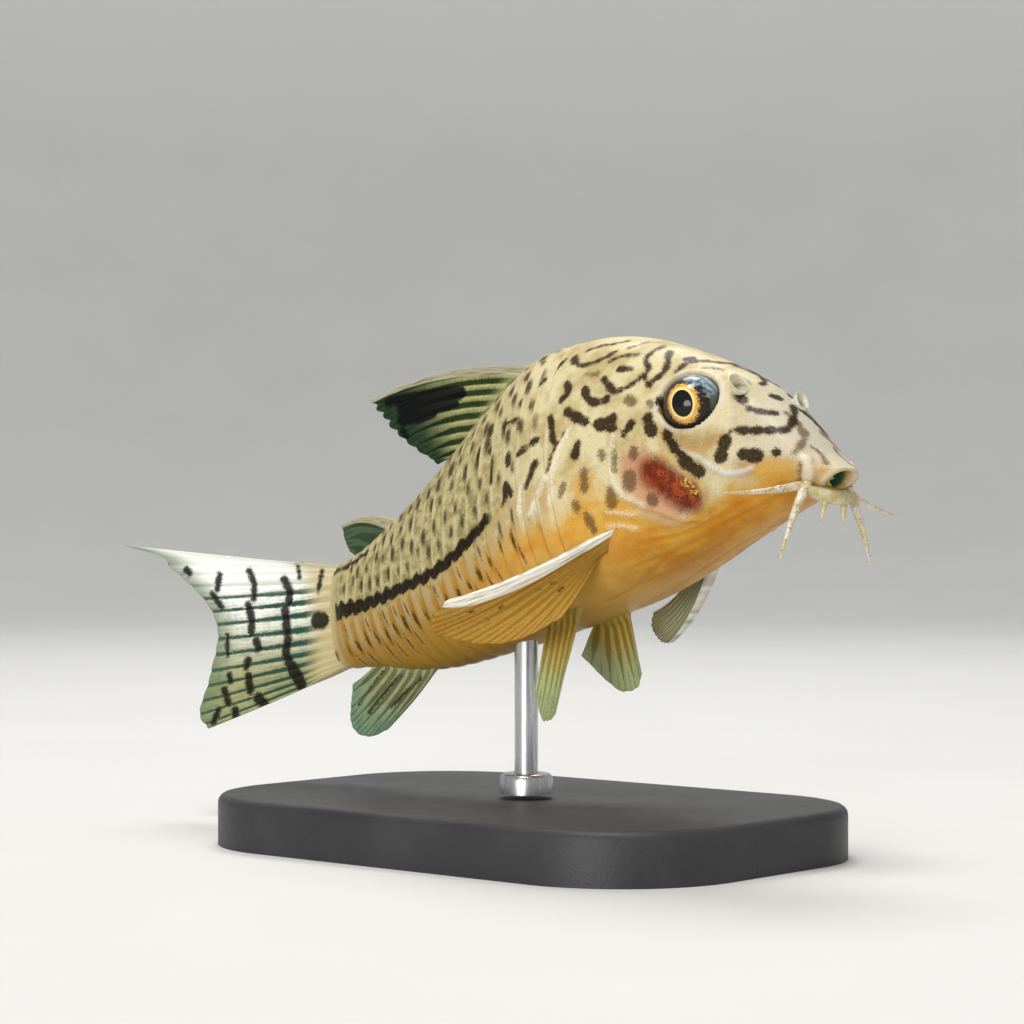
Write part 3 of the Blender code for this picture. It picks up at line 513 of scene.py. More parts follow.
plate_count = np.minimum(plate_line, PLATE_COUNT)
lap = (plate_count + np.where(below_rows > 0, 0.5, 0.0)) % 1
plated = ease(plate_count / FIRST_PLATE_FADE) * (plate_count < PLATE_COUNT)
plated *= ease(skin_angle / BARE_BACK) * (1 - fading_in(skin_station, *PLATES_FADE))
plated *= 1 - fading_in(skin_angle, *BARE_BELLY) * (1 - fading_in(skin_station, *BARE_CHEST))
relief = PLATE_RISE * plated * (lap - 0.5)
relief += PLATE_RISE * LOWER_SWELL * plated * np.where(below_rows > 0, np.sin(lap * math.pi), 0)
relief -= ROW_GROOVE * plated * np.exp(-((below_rows / GROOVE_WIDE) ** 2))
relief += SMALL_RIDGE * raised("white", 0.1, 0.35)
relief += SMALL_RIDGE * raised("cover_rim", 0.05, 0.3)
# The folds are real grooves, and further down they also get painted shade.
relief -= FOLD_DEPTH * raised("shaded_folds", 0, 0.3)
relief += GILL_RISE * raised("red_gill", 0.5, 0.8)
relief += SMALL_RIDGE * raised("cheek_ridge_highlight", 0, 0.3)

# The dark dashes on the plates, in rows along the body, each (mm below the line where the plates'
# rows meet, half width, half height, share left out).
UPPER_DASHES = [
    (-1.30, 0.21, 0.36, 0.15), (-2.45, 0.26, 0.44, 0.05), (-3.65, 0.26, 0.46, 0.05),
    (-4.90, 0.26, 0.48, 0.05), (-6.20, 0.25, 0.46, 0.10), (-7.50, 0.24, 0.44, 0.10),
    (-8.80, 0.23, 0.44, 0.10), (-10.1, 0.23, 0.44, 0.10),
]
LOWER_DASHES = [(1.15, 0.11, 0.60, 0.35), (2.35, 0.18, 0.66, 0.08), (3.80, 0.09, 0.80, 0.35)]
PLATE_PITCH = (LAST_PLATE - FIRST_PLATE) / PLATE_COUNT * LENGTH * 1000
ROW_ROOM = 32
DASH_SHIFT = 0.07
DASH_DROP = 0.16
DASH_SIZES = (0.65, 1.2)
DASH_SLANT = 0.12


def dash_rows(rows, start):
    """How far in mm each point of the skin is outside the nearest dash of some rows."""
    nearest = np.full(points, NEAR_MARK)
    for number, (level, half_wide, half_high, left_out) in enumerate(rows):
        offset = start + 0.5 * (number % 2)
        plate = np.rint(plate_count - offset)
        which = (plate.astype(int) % ROW_ROOM) + np.where(skin_side > 0, ROW_ROOM, 0)
        shift = draw.normal(0, DASH_SHIFT, 2 * ROW_ROOM)[which]
        drop = draw.normal(0, DASH_DROP, 2 * ROW_ROOM)[which]
        missing = draw.uniform(size=2 * ROW_ROOM) < left_out
        size = np.where(missing, -1.0, draw.uniform(*DASH_SIZES, 2 * ROW_ROOM))[which]
        slant = (below_rows - level - drop) * DASH_SLANT
        aside = ((plate_count - offset - plate - shift) * PLATE_PITCH + slant) / half_wide
        above = (below_rows - level - drop) / half_high
        nearest = np.minimum(nearest, (np.hypot(aside, above) - size) * half_wide)
    return nearest


upper_dashes, lower_dashes = dash_rows(UPPER_DASHES, 0.30), dash_rows(LOWER_DASHES, 0.15)


# The eyes' sockets. Each is a hollow, a raised lid round it and bare skin, in mm from its axis.
EYE_ON_SKIN = (0.180, math.radians(54.5))
EYE_SINK = 0.0155
EYE_RADIUS = 0.0405
SOCKET_REACH = 3.2
SOCKET_DEPTH = 1.2
SOCKET_SLOPE = (1.66, 0.46)
LID_RISE = 0.11
LID_AT = 2.22
LID_WIDE = 0.20
RELIEF_FROM = (2.1, 0.5)


def axes_from(out, s):
    """Three square directions at station s, the last one the direction given."""
    across = Vector(along_spine(spine_forward, s)).cross(out).normalized()
    return [across, out.cross(across), out]


def skin_normal(s, angle, side):
    """The direction straight out of the skin."""
    along = Vector(skin_at(s + 0.004, angle, side) - skin_at(s - 0.004, angle, side))
    around = Vector(skin_at(s, angle + 0.04, side) - skin_at(s, angle - 0.04, side))
    return (along.cross(around) * -side).normalized()


eye_outs = {side: skin_normal(*EYE_ON_SKIN, side) for side in (1, -1)}
eye_centres = {}
socket = np.full(points, SOCKET_REACH)
for side, eye_out in eye_outs.items():
    eye_centres[side] = Vector(skin_at(*EYE_ON_SKIN, side)) - eye_out * (EYE_SINK * LENGTH)
    apart = base_places - np.array(eye_centres[side])
    height = apart @ np.array(eye_out)
    from_axis = np.linalg.norm(apart - height[:, None] * np.array(eye_out), axis=1) * 1000
    near_eye = (height > 0) & (from_axis < SOCKET_REACH)
    lid = LID_RISE * np.exp(-(((from_axis - LID_AT) / LID_WIDE) ** 2))
    hollow = -SOCKET_DEPTH * (1 - fading_in(from_axis, *SOCKET_SLOPE))
    relief = np.where(near_eye, relief * fading_in(from_axis, *RELIEF_FROM) + lid + hollow, relief)
    socket = np.where(near_eye, from_axis, socket)
skin_places = base_places + skin_normals * (relief / 1000)[:, None]

# The open mouth is half a ball pressed into the snout, with a rolled lip round it. Distances from
# its middle are in its own radii.
MOUTH_PLACE = (0.010, 0.0, -0.084)
MOUTH_GAPE = (-0.80, 0.0, -0.60)
MOUTH_RADII = (0.0185, 0.0150, 0.030)
MOUTH_BACK = -0.9
LIP_ROLL = 0.22
LIP_AT = 1.42
LIP_WIDE = 0.34
LIP_BACK = -1.3
INSIDE_BOX = 0.00002


def direction(back, left, up, s):
    """The posed direction of one that is given in the straight fish at station s."""
    made = -along_spine(spine_forward, s) * back + along_spine(spine_left, s) * left
    return Vector(made + along_spine(spine_up, s) * up).normalized()


gape_axes = np.array(axes_from(direction(*MOUTH_GAPE, 0.0), 0.0))
mouth_reach = np.array(MOUTH_RADII) * LENGTH
in_mouth = (skin_places - posed(*MOUTH_PLACE)) @ gape_axes.T / mouth_reach
across_mouth = in_mouth[:, 0] ** 2 + in_mouth[:, 1] ** 2
gaping = (across_mouth < 1) & (in_mouth[:, 2] > MOUTH_BACK)
lips = np.exp(-(((np.sqrt(across_mouth) - LIP_AT) / LIP_WIDE) ** 2)) * (in_mouth[:, 2] > LIP_BACK)
in_mouth[:, 2] = np.where(gaping, -np.sqrt(np.clip(1 - across_mouth, 0, 1)), in_mouth[:, 2])
gullet_places = posed(*MOUTH_PLACE) + (in_mouth * mouth_reach) @ gape_axes
skin_places = np.where(gaping[:, None], gullet_places, skin_places)
skin_places = skin_places + (lips * LIP_ROLL / 1000)[:, None] * gape_axes[2]
skin_places = np.clip(skin_places, np.array(cad_low), np.array(cad_high) - INSIDE_BOX)
for vert, place in zip(body.verts, skin_places):
    vert.co = place


def mesh_of(bm, name, fields=None):
    """The smooth mesh of a finished bmesh, with a number for each point in each named field."""
    mesh = bpy.data.meshes.new(name)
    bm.to_mesh(mesh)
    bm.free()
    for word, values in (fields or {}).items():
        layer = mesh.attributes.new(word, "FLOAT", "POINT")
        layer.data.foreach_set("value", np.asarray(values, np.float32))
    mesh.shade_smooth()
    return mesh


def place_piece(name, mesh, paint, stands_for=()):
    """A piece of the fish in its place, with its finish."""
    piece = bpy.data.objects.new(name, mesh)
    bpy.context.scene.collection.objects.link(piece)
    mesh.materials.clear()
    mesh.materials.append(paint)
    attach(piece, "root")
    if stands_for:
        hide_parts(*stands_for)
    return piece


def new_paint(name, **sockets):
    """A material, with constant values for its shader's sockets."""
    paint = bpy.data.materials.new(name)
    paint.use_nodes = True
    shader = paint.node_tree.nodes["Principled BSDF"]
    for word, value in sockets.items():
        shader.inputs[word.replace("_", " ").title().replace("Ior", "IOR")].default_value = value
    return paint


def add_node(paint, kind, sockets, **settings):
    """A shader node with its settings, and with its sockets set or linked."""
    made = paint.node_tree.nodes.new(kind)
    for word, value in settings.items():
        setattr(made, word, value)
    for word, value in sockets.items():
        if isinstance(value, bpy.types.NodeSocket):
            paint.node_tree.links.new(value, made.inputs[word])
        else:
            made.inputs[word].default_value = value
    return made


def field(paint, word):
    """The named field of the piece."""
    return add_node(paint, "ShaderNodeAttribute", {}, attribute_name=word).outputs["Fac"]


def grain(paint, scale, detail=3.0, roughness=0.55, stretch=None):
    """Cloudy noise that keeps still on the piece. Scale is in lumps a metre."""
    place = add_node(paint, "ShaderNodeTexCoord", {}).outputs["Object"]
    if stretch:
        place = add_node(paint, "ShaderNodeMapping", {"Vector": place, **stretch}).outputs["Vector"]
    sockets = {"Vector": place, "Scale": scale, "Detail": detail, "Roughness": roughness}
    return add_node(paint, "ShaderNodeTexNoise", sockets).outputs["Fac"]


def ramp(paint, value, low, high, start=0.0, end=1.0):
    """A soft rise from start to end as the value goes from low to high."""
    sockets = {"Value": value, "From Min": low, "From Max": high, "To Min": start, "To Max": end}
    return add_node(paint, "ShaderNodeMapRange", sockets, interpolation_type="SMOOTHSTEP").outputs["Result"]


def sum_of(paint, a, b, kind="ADD"):
    """One sum on two values, or on the first alone."""
    return add_node(paint, "ShaderNodeMath", {0: a, 1: b}, operation=kind).outputs[0]


def colour(value):
    """A colour socket's value."""
    return value if isinstance(value, bpy.types.NodeSocket) else (*value, 1)


def mixed(paint, share, a, b):
    """Colour a, going over to b by the share."""
    sockets = {0: share, 6: colour(a), 7: colour(b)}
    return add_node(paint, "ShaderNodeMix", sockets, data_type="RGBA").outputs[2]


def join_paint(paint, base, roughness=None, heights=()):
    """Links the colour, the roughness and the bumps, each (height, depth in mm), to the shader."""
    shader = paint.node_tree.nodes["Principled BSDF"]
    wanted = {"Base Color": base, "Roughness": roughness}
    for height, depth in heights:
        sockets = {"Height": height, "Distance": depth / 1000}
        if "Normal" in wanted:
            sockets["Normal"] = wanted["Normal"]
        wanted["Normal"] = add_node(paint, "ShaderNodeBump", sockets).outputs["Normal"]
    for word, value in wanted.items():
        if value is not None:
            paint.node_tree.links.new(value, shader.inputs[word])


# The skin's finish. A wet, soft skin, cream and olive above and amber below, with dark brown
# marks that have ragged edges. Every mark's distance is a field of the skin's own points.
CREAM = (0.60, 0.52, 0.31)
TAN = (0.42, 0.33, 0.15)
SNOUT_WHITE = (0.53, 0.49, 0.39)
SHADED_FLANK_CREAM = (0.44, 0.38, 0.19)
SHADED_OLIVE_CREAM = (0.22, 0.185, 0.07)
CHEEK_TAN = (0.31, 0.195, 0.062)
AMBER = (0.62, 0.31, 0.036)
DEEP_AMBER = (0.52, 0.20, 0.014)
PALE_AMBER = (0.55, 0.325, 0.062)
BELLY_GOLD = (0.77, 0.49, 0.125)
TAIL_ROSE = (0.37, 0.195, 0.018)
TAIL_CREAM = (0.54, 0.45, 0.23)
LIP_CREAM = (0.60, 0.53, 0.36)
BLACK_BROWN = (0.009, 0.005, 0.002)
FAINT_BROWN = (0.100, 0.052, 0.018)
DASH_BROWN = (0.040, 0.024, 0.009)
PLATE_LIGHT = (0.60, 0.54, 0.34)
PLATE_ROSE = (0.44, 0.32, 0.15)
BONE_WHITE = (0.74, 0.70, 0.58)
LILAC_WHITE = (0.62, 0.62, 0.68)
GILL_RED = (0.12, 0.012, 0.003)
GILL_ORANGE = (0.30, 0.045, 0.007)
GILL_DARK = (0.025, 0.006, 0.003)
COVER_PINK = (0.45, 0.20, 0.11)
GOLD = (0.85, 0.60, 0.08)
GULLET_SHADE = (0.035, 0.105, 0.062)
skin_paint = new_paint(
    "skin_paint", coat_weight=0.06, coat_roughness=0.10, subsurface_weight=0.05,
    subsurface_scale=0.0005, specular_ior_level=0.06,
)
skin_field, blend, rise = (partial(made, skin_paint) for made in (field, mixed, ramp))
clouds = grain(skin_paint, 420, 4)
mottle = grain(skin_paint, 1600, 4, 0.6)
fine = grain(skin_paint, 6500, 3, 0.6)
dust = grain(skin_paint, 16000, 2, 0.6)


def both(*values):
    """The product of values in the skin's paint."""
    product = values[0]
    for value in values[1:]:
        product = sum_of(skin_paint, product, value, "MULTIPLY")
    return product


station = skin_field("station")
from_rows = skin_field("below_rows")
plates = skin_field("plate_count")
plated_here = skin_field("plated")
soft_edge = sum_of(skin_paint, rise(fine, 0.3, 0.7, -0.05, 0.05), rise(dust, 0.3, 0.7, -0.05, 0.05))


def marked(word, softness, strength, wander=1.0, grow=0.0):
    """The share of a mark whose field tells the distance outside it in mm, with speckled edges."""
    edge = sum_of(skin_paint, skin_field(word), both(soft_edge, wander))
    return rise(edge, grow - softness, grow + softness, strength, 0.0)


tone = blend(rise(clouds, 0.40, 0.64), CREAM, TAN)
tone = blend(rise(mottle, 0.50, 0.72, 0.0, 0.45), tone, PLATE_LIGHT)
tone = blend(rise(station, 0.04, 0.17, 0.9, 0.0), tone, SNOUT_WHITE)
# Behind the head the flank goes over to darker olive and cream. This is partly the fish's own olive, and
# partly painted shade where the light falls off towards the tail.
shaded_flank = blend(rise(mottle, 0.35, 0.65), SHADED_OLIVE_CREAM, SHADED_FLANK_CREAM)
tone = blend(rise(station, 0.40, 0.58), tone, shaded_flank)
cloudy_line = sum_of(skin_paint, skin_field("below_orange"), rise(clouds, 0.3, 0.7, -0.9, 0.9))
amber = blend(rise(clouds, 0.38, 0.62), AMBER, DEEP_AMBER)
amber = blend(rise(mottle, 0.45, 0.75, 0.0, 0.5), amber, PALE_AMBER)
amber = blend(rise(cloudy_line, 0.2, 2.4, 0.8, 0.0), amber, PALE_AMBER)
amber = blend(both(rise(station, 0.25, 0.45), rise(cloudy_line, 1.5, 3.5, 0.0, 0.6)), amber, BELLY_GOLD)
amber = blend(rise(station, 0.48, 0.72), amber, TAIL_ROSE)
tone = blend(marked("cheek_tan", 0.7, 0.85, 4.0), tone, CHEEK_TAN)
tone = blend(rise(cloudy_line, -1.3, 0.8), tone, amber)
tone = blend(both(rise(skin_field("lips"), 0.15, 0.75), 0.85), tone, LIP_CREAM)
tone = blend(rise(fine, 0.50, 0.75, 0.0, 0.40), tone, TAN)

# Each upper plate has a pale rear edge, and each lower one a pale rosy finger under the stripe.
upper_row = both(rise(from_rows, -0.15, 0.0, 1.0, 0.0), plated_here)
lower_row = both(rise(from_rows, 0.0, 0.15), plated_here)
upper_lap = sum_of(skin_paint, plates, 0.0, "FRACT")
lower_lap = sum_of(skin_paint, sum_of(skin_paint, plates, 0.5), 0.0, "FRACT")
tone = blend(both(rise(upper_lap, 0.62, 0.95), upper_row, 0.45), tone, PLATE_LIGHT)
tone = blend(both(rise(upper_lap, 0.0, 0.14, 0.45, 0.0), upper_row), tone, DASH_BROWN)
under_rows = both(rise(from_rows, 0.25, 0.6), rise(from_rows, 1.5, 3.2, 1.0, 0.15), plated_here)
finger = both(rise(lower_lap, 0.28, 0.46), rise(lower_lap, 0.74, 0.92, 1.0, 0.0))
tone = blend(both(finger, under_rows, 0.85), tone, PLATE_ROSE)
tone = blend(both(rise(lower_lap, 0.0, 0.12, 0.55, 0.0), lower_row), tone, FAINT_BROWN)
ahead_of_tail = rise(station, 0.90, 0.96, 1.0, 0.0)
upper_dash = both(marked("upper_dashes", 0.14, 0.92), rise(from_rows, -0.9, -0.7, 1.0, 0.0), ahead_of_tail)
tone = blend(both(upper_dash, rise(plates, 0.6, 2.4)), tone, DASH_BROWN)
lower_dash = both(marked("lower_dashes", 0.08, 0.90), rise(from_rows, 0.5, 0.8), rise(plates, 1.2, 2.4))
tone = blend(both(lower_dash, ahead_of_tail), tone, DASH_BROWN)

tone = blend(marked("pink_cover", 0.6, 0.75, 4.0), tone, COVER_PINK)
red = marked("red_gill", 0.50, 0.97, 2.6)
tone = blend(red, tone, blend(rise(mottle, 0.45, 0.62), GILL_RED, GILL_ORANGE))
tone = blend(both(rise(fine, 0.54, 0.60), rise(mottle, 0.40, 0.56), red), tone, GILL_DARK)
gold = both(marked("gill_gold", 0.22, 0.85, 2.0), rise(fine, 0.50, 0.57))
tone = blend(gold, tone, GOLD)
# Painted highlight: a thin pale lilac line along the ridge under the eye.
tone = blend(marked("cheek_ridge_highlight", 0.16, 0.60, 1.0, 0.08), tone, LILAC_WHITE)
lid = both(rise(skin_field("socket"), 2.02, 2.16), rise(skin_field("socket"), 2.30, 2.60, 1.0, 0.0))
tone = blend(both(lid, rise(mottle, 0.35, 0.6, 0.05, 0.35)), tone, LILAC_WHITE)
tone = blend(rise(skin_field("socket"), 1.96, 2.10, 0.92, 0.0), tone, BLACK_BROWN)
tone = blend(marked("white", 0.18, 0.56, 2.4, 0.04), tone, BONE_WHITE)
tone = blend(marked("cover_rim", 0.14, 0.45, 1.0, 0.06), tone, PALE_AMBER)
# Painted shade: the throat's folds and the fold under the eye are darkened to deep amber.
tone = blend(marked("shaded_folds", 0.13, 0.40, 1.0, 0.10), tone, DEEP_AMBER)

# The stripe where the plates' rows meet, with a tooth on each plate's edge, and the loose marks.
teeth = sum_of(skin_paint, both(plates, 2.0), 1.0, "PINGPONG")
stripe_middle = sum_of(skin_paint, from_rows, both(teeth, rise(mottle, 0.35, 0.65, 0.12, 0.34)))
off_stripe = sum_of(skin_paint, stripe_middle, 0.0, "ABSOLUTE")
off_stripe = sum_of(skin_paint, off_stripe, rise(station, 0.48, 0.60, 0.15, 0.37), "SUBTRACT")
stripe = rise(sum_of(skin_paint, off_stripe, soft_edge), -0.08, 0.08, 0.98, 0.0)
stripe = both(stripe, rise(station, 0.520, 0.540), rise(station, 0.950, 0.960, 1.0, 0.0))
tone = blend(rise(station, 0.93, 0.98, 0.0, 0.95), tone, TAIL_CREAM)
tone = blend(stripe, tone, BLACK_BROWN)
tone = blend(marked("brown", 0.13, 0.80, 2.0), tone, FAINT_BROWN)
mark_tone = blend(rise(dust, 0.45, 0.75, 0.0, 0.7), BLACK_BROWN, FAINT_BROWN)
mark_tone = blend(rise(fine, 0.48, 0.70, 0.0, 0.55), mark_tone, FAINT_BROWN)
tone = blend(marked("black", 0.115, 0.97, 1.2), tone, mark_tone)
specks = both(rise(dust, 0.60, 0.66), rise(mottle, 0.40, 0.60, 0.25, 0.9))
tone = blend(both(specks, 0.75), tone, FAINT_BROWN)
# Painted shade: the skin inside the open mouth is painted dark green.
tone = blend(rise(skin_field("gullet"), 0.05, 0.20), tone, GULLET_SHADE)
rough = rise(mottle, 0.3, 0.7, 0.30, 0.44)
join_paint(skin_paint, tone, rough, [(mottle, 0.04), (fine, 0.022), (dust, 0.007)])

skin_fields = {
    **marks, "station": skin_station, "below_orange": below_orange, "below_rows": below_rows,
    "plate_count": plate_count, "plated": plated, "upper_dashes": upper_dashes,
    "lower_dashes": lower_dashes, "socket": socket, "lips": lips,
    "gullet": np.where(gaping, 1 - np.sqrt(np.clip(across_mouth, 0, 1)), 0),
}
skin_mesh = mesh_of(body, "skin", skin_fields)
place_piece("skin", skin_mesh, skin_paint, ("head", "trunk", "tail_stalk"))


# The eyes. Each is a wet ball, sunk in its socket, with an upright oval pupil in a thin gold iris
# and a dark rim. It is painted on the ball round the way that it looks, and its side towards the
# lights, ahead and above, has a painted green tint and a painted blue and silver reflection.
SIDES = ((-1, "right"), (1, "left"))
PUPIL_AT = (681.4, 403.0)
PUPIL_HALF = (0.72, 0.90)
IRIS_EDGE = 1.12
IRIS_GOLD = (0.80, 0.46, 0.11)
IRIS_RUST = (0.50, 0.22, 0.04)
IRIS_BRIGHT = (0.95, 0.74, 0.30)
PUPIL_BLACK = (0.003, 0.003, 0.004)
BALL_BROWN = (0.022, 0.014, 0.010)
BALL_SPECK = (0.60, 0.38, 0.14)
LIT_BALL_GREEN = (0.10, 0.15, 0.13)
REFLECTION_BLUE = (0.16, 0.26, 0.38)
REFLECTION_SILVER = (0.50, 0.58, 0.58)
eye_paint = new_paint(
    "eye_paint", coat_weight=0.5, coat_roughness=0.02, roughness=0.4, specular_ior_level=0.05,
)
eye_blend, eye_rise, eye_sum = (partial(made, eye_paint) for made in (mixed, ramp, sum_of))
eye_grain, eye_streaks = grain(eye_paint, 9000, 3), grain(eye_paint, 3000, 4)
in_pupil = field(eye_paint, "in_pupil")
from_pupil = field(eye_paint, "from_pupil")
to_light = field(eye_paint, "to_light")
iris = eye_blend(eye_rise(eye_grain, 0.35, 0.7), IRIS_GOLD, IRIS_RUST)
iris = eye_blend(eye_rise(in_pupil, 1.32, 1.02), iris, IRIS_BRIGHT)
ball_from = eye_sum(eye_sum(in_pupil, 0.74, "MULTIPLY"), eye_rise(eye_grain, 0.3, 0.7, -0.14, 0.14))
tone = eye_blend(eye_rise(ball_from, IRIS_EDGE - 0.08, IRIS_EDGE + 0.10), iris, BALL_BROWN)
by_iris = eye_rise(from_pupil, 1.2, 1.6, 0.7, 0.0)
tone = eye_blend(eye_sum(eye_rise(eye_grain, 0.60, 0.66), by_iris, "MULTIPLY"), tone, BALL_SPECK)
# Painted light: on the ball's side towards the lights its edge goes green, and then it takes a painted blue
# and silver reflection.
lit = eye_sum(to_light, eye_rise(eye_streaks, 0.3, 0.7, -0.15, 0.15))
outer_edge = eye_rise(from_pupil, 1.75, 2.2, 0.0, 0.7)
tone = eye_blend(eye_sum(outer_edge, eye_rise(lit, 0.35, 0.75), "MULTIPLY"), tone, LIT_BALL_GREEN)
painted_reflection = eye_blend(eye_rise(eye_streaks, 0.35, 0.75), REFLECTION_BLUE, REFLECTION_SILVER)
tone = eye_blend(eye_rise(lit, 0.85, 1.30, 0.0, 0.85), tone, painted_reflection)
tone = eye_blend(eye_rise(in_pupil, 1.04, 0.98), tone, PUPIL_BLACK)
join_paint(eye_paint, tone)
pupil_ray = sight_line(*PUPIL_AT)
to_centre = eye_centres[-1] - VIEW_FROM
along_ray = to_centre.dot(pupil_ray)
ray_clear = (to_centre - pupil_ray * along_ray).length
eye_reach = EYE_RADIUS * LENGTH
near_look = VIEW_FROM + pupil_ray * (along_ray - math.sqrt(eye_reach**2 - ray_clear**2)) - eye_centres[-1]
eye_frame = [Vector(along_spine(axis, EYE_ON_SKIN[0])) for axis in (spine_forward, spine_left, spine_up)]
look_ahead, look_left, look_up = (near_look.normalized().dot(axis) for axis in eye_frame)
for side, word in SIDES:
    look = eye_frame[0] * look_ahead + eye_frame[1] * (look_left * -side) + eye_frame[2] * look_up
    upright = (eye_frame[2] - look * look.dot(eye_frame[2])).normalized()
    sideways = upright.cross(look)
    bm = bmesh.new()
    bmesh.ops.create_uvsphere(bm, u_segments=72, v_segments=48, radius=eye_reach)
    bmesh.ops.rotate(bm, cent=(0, 0, 0), matrix=look.to_track_quat("Z", "Y").to_matrix(), verts=bm.verts)
    spot = np.array([v.co for v in bm.verts]) / eye_reach
    turn_from = np.arccos(np.clip(spot @ np.array(look), -1, 1)) * eye_reach * 1000
    flat = np.stack([spot @ np.array(sideways), spot @ np.array(upright)], axis=1)
    flat /= np.maximum(np.linalg.norm(flat, axis=1), 1e-6)[:, None]
    flat *= turn_from[:, None]
    oval = np.hypot(flat[:, 0] / PUPIL_HALF[0], flat[:, 1] / PUPIL_HALF[1])
    forward_share = np.array(eye_frame[0]) @ spot.T
    up_share = np.array(eye_frame[2]) @ spot.T
    # How far each point of the ball faces the lights, ahead and above. It places the painted reflection.
    light = forward_share * 0.75 + up_share * 0.65 + 0.25
    bmesh.ops.translate(bm, vec=eye_centres[side], verts=bm.verts)
    eye_fields = {"in_pupil": oval, "from_pupil": turn_from, "to_light": light}
    place_piece(f"eyeball_{word}", mesh_of(bm, "eyeball", eye_fields), eye_paint, (f"eye_{word}",))


# The lower lip and the barbels. Soft flesh: a thick lower lip with two short points under it, and
# two tapering barbels at each corner of the mouth. All are round cords rooted in the skin.
LOWER_LIP = [(0.042, 0.044, -0.088), (0.010, 0.0, -0.114), (0.042, -0.044, -0.088)]
LOWER_LIP_RADIUS = 0.0105
LIP_POINT_PATH = [(0.026, 0.017, -0.094), (0.034, 0.020, -0.112), (0.041, 0.022, -0.131)]
LIP_POINT_RADII = (0.0100, 0.0056, 0.0034, 0.0010)
BARBELS = {
    "upper": ((0.042, 0.032, -0.080), (0.056, 0.105, -0.096), (0.066, 0.176, -0.099), 0.0070),
    "lower": ((0.038, 0.040, -0.080), (0.048, 0.078, -0.134), (0.062, 0.092, -0.181), 0.0074),
}
BARBEL_TAPER = 0.88
BARBEL_RIPPLE = 0.05
BARBEL_WAVER = 0.03
BARBEL_STEPS = 48
LIP_STEPS = 48
POINT_STEPS = 15
LIP_CORNER_SHARE = 0.55


def on_side(place, side):
    """The posed point for a (back, left, up) place, on the left, 1, or the right, -1."""
    back, left, up = place
    return Vector(posed(back, side * left, up))


def bow(start, middle, end, count):
    """Points on the smooth bow from start to end that is drawn towards middle."""
    shares = [k / (count - 1) for k in range(count)]
    return [start * (1 - t) ** 2 + middle * (2 * t * (1 - t)) + end * t**2 for t in shares]


def soft_cord(path, radii, sides):
    """A bmesh of a round cord along points, closed to a rounded tip at both ends."""
    bm = bmesh.new()
    rings = len(path) + 1
    bmesh.ops.create_uvsphere(bm, u_segments=sides, v_segments=rings, radius=1)
    for vert in bm.verts:
        level = int(round(math.acos(max(-1, min(1, vert.co.z))) / math.pi * rings))
        at_pole = level in (0, rings)
        step = min(max(level - 1, 0), len(path) - 1)
        ahead = (path[min(step + 1, len(path) - 1)] - path[max(step - 1, 0)]).normalized()
        square = ahead.to_track_quat("Z", "X").to_matrix()
        turn = math.atan2(vert.co.y, vert.co.x)
        if at_pole:
            vert.co = path[step] + ahead * radii[step] * (-0.5 if level == 0 else 0.5)
        else:
            vert.co = path[step] + square @ Vector((math.cos(turn), math.sin(turn), 0)) * radii[step]
    bmesh.ops.recalc_face_normals(bm, faces=bm.faces)
    return bm


def speckled_flesh(name, lumps, tones, specks, gloss, depth, **sockets):
    """Clouds of the first two tones, with small specks of the third.

    specks says from where on the fine grain they start and how much they cover.
    """
    paint = new_paint(name, **sockets)
    clouds, fine_grain = grain(paint, lumps[0], 4), grain(paint, lumps[1], 3)
    tone = mixed(paint, ramp(paint, clouds, 0.35, 0.62), tones[0], tones[1])
    speck_share = ramp(paint, fine_grain, specks[0], specks[0] + 0.06, 0.0, specks[1])
    tone = mixed(paint, speck_share, tone, tones[2])
    rough = ramp(paint, fine_grain, 0.3, 0.7, *gloss)
    join_paint(paint, tone, rough, [(clouds, depth), (fine_grain, 0.02)])
    return paint


lip_paint = speckled_flesh(
    "lip_paint", (1100, 7000), ((0.66, 0.63, 0.56), (0.56, 0.45, 0.20), (0.13, 0.12, 0.09)),
    (0.56, 0.7), (0.28, 0.44), 0.08, coat_weight=0.45, coat_roughness=0.10, subsurface_weight=0.15,
    subsurface_scale=0.0006,
)
chin_paint = speckled_flesh(
    "chin_paint", (1500, 9000), ((0.60, 0.52, 0.30), (0.46, 0.38, 0.15), (0.16, 0.13, 0.07)),
    (0.60, 0.6), (0.35, 0.35), 0.05, coat_weight=0.2, coat_roughness=0.1,
)
line = bow(*(on_side(place, 1) for place in LOWER_LIP), LIP_STEPS + 1)
fullness = [math.sin(math.pi * k / LIP_STEPS) ** 0.6 for k in range(LIP_STEPS + 1)]
radii = [LOWER_LIP_RADIUS * LENGTH * between(LIP_CORNER_SHARE, 1.0, share) for share in fullness]
place_piece("lip_lower", mesh_of(soft_cord(line, radii, 24), "lip_lower"), chin_paint)
for side, word in SIDES:
    line = bow(*(on_side(place, side) for place in LIP_POINT_PATH), POINT_STEPS + 1)
    sizes = smooth_line([(k / 3, r) for k, r in enumerate(LIP_POINT_RADII)])
    radii = [float(sizes(k / POINT_STEPS)) * LENGTH for k in range(POINT_STEPS + 1)]
    place_piece(f"lip_point_{word}", mesh_of(soft_cord(line, radii, 14), "lip_point"), chin_paint)
    for level, (root, middle, tip, radius) in BARBELS.items():
        line = bow(*(on_side(place, side) for place in (root, middle, tip)), BARBEL_STEPS)
        radii = []
        for k in range(BARBEL_STEPS):
            ripple = 1 + BARBEL_RIPPLE * math.sin(k * 1.3 + side) + BARBEL_WAVER * draw.normal()
            radii.append(radius * LENGTH * (1 - BARBEL_TAPER * k / (BARBEL_STEPS - 1)) * ripple)
        mesh = mesh_of(soft_cord(line, radii, 16), "feeler")
        place_piece(f"feeler_{level}_{word}", mesh, lip_paint, (f"barbel_{level}_{word}",))


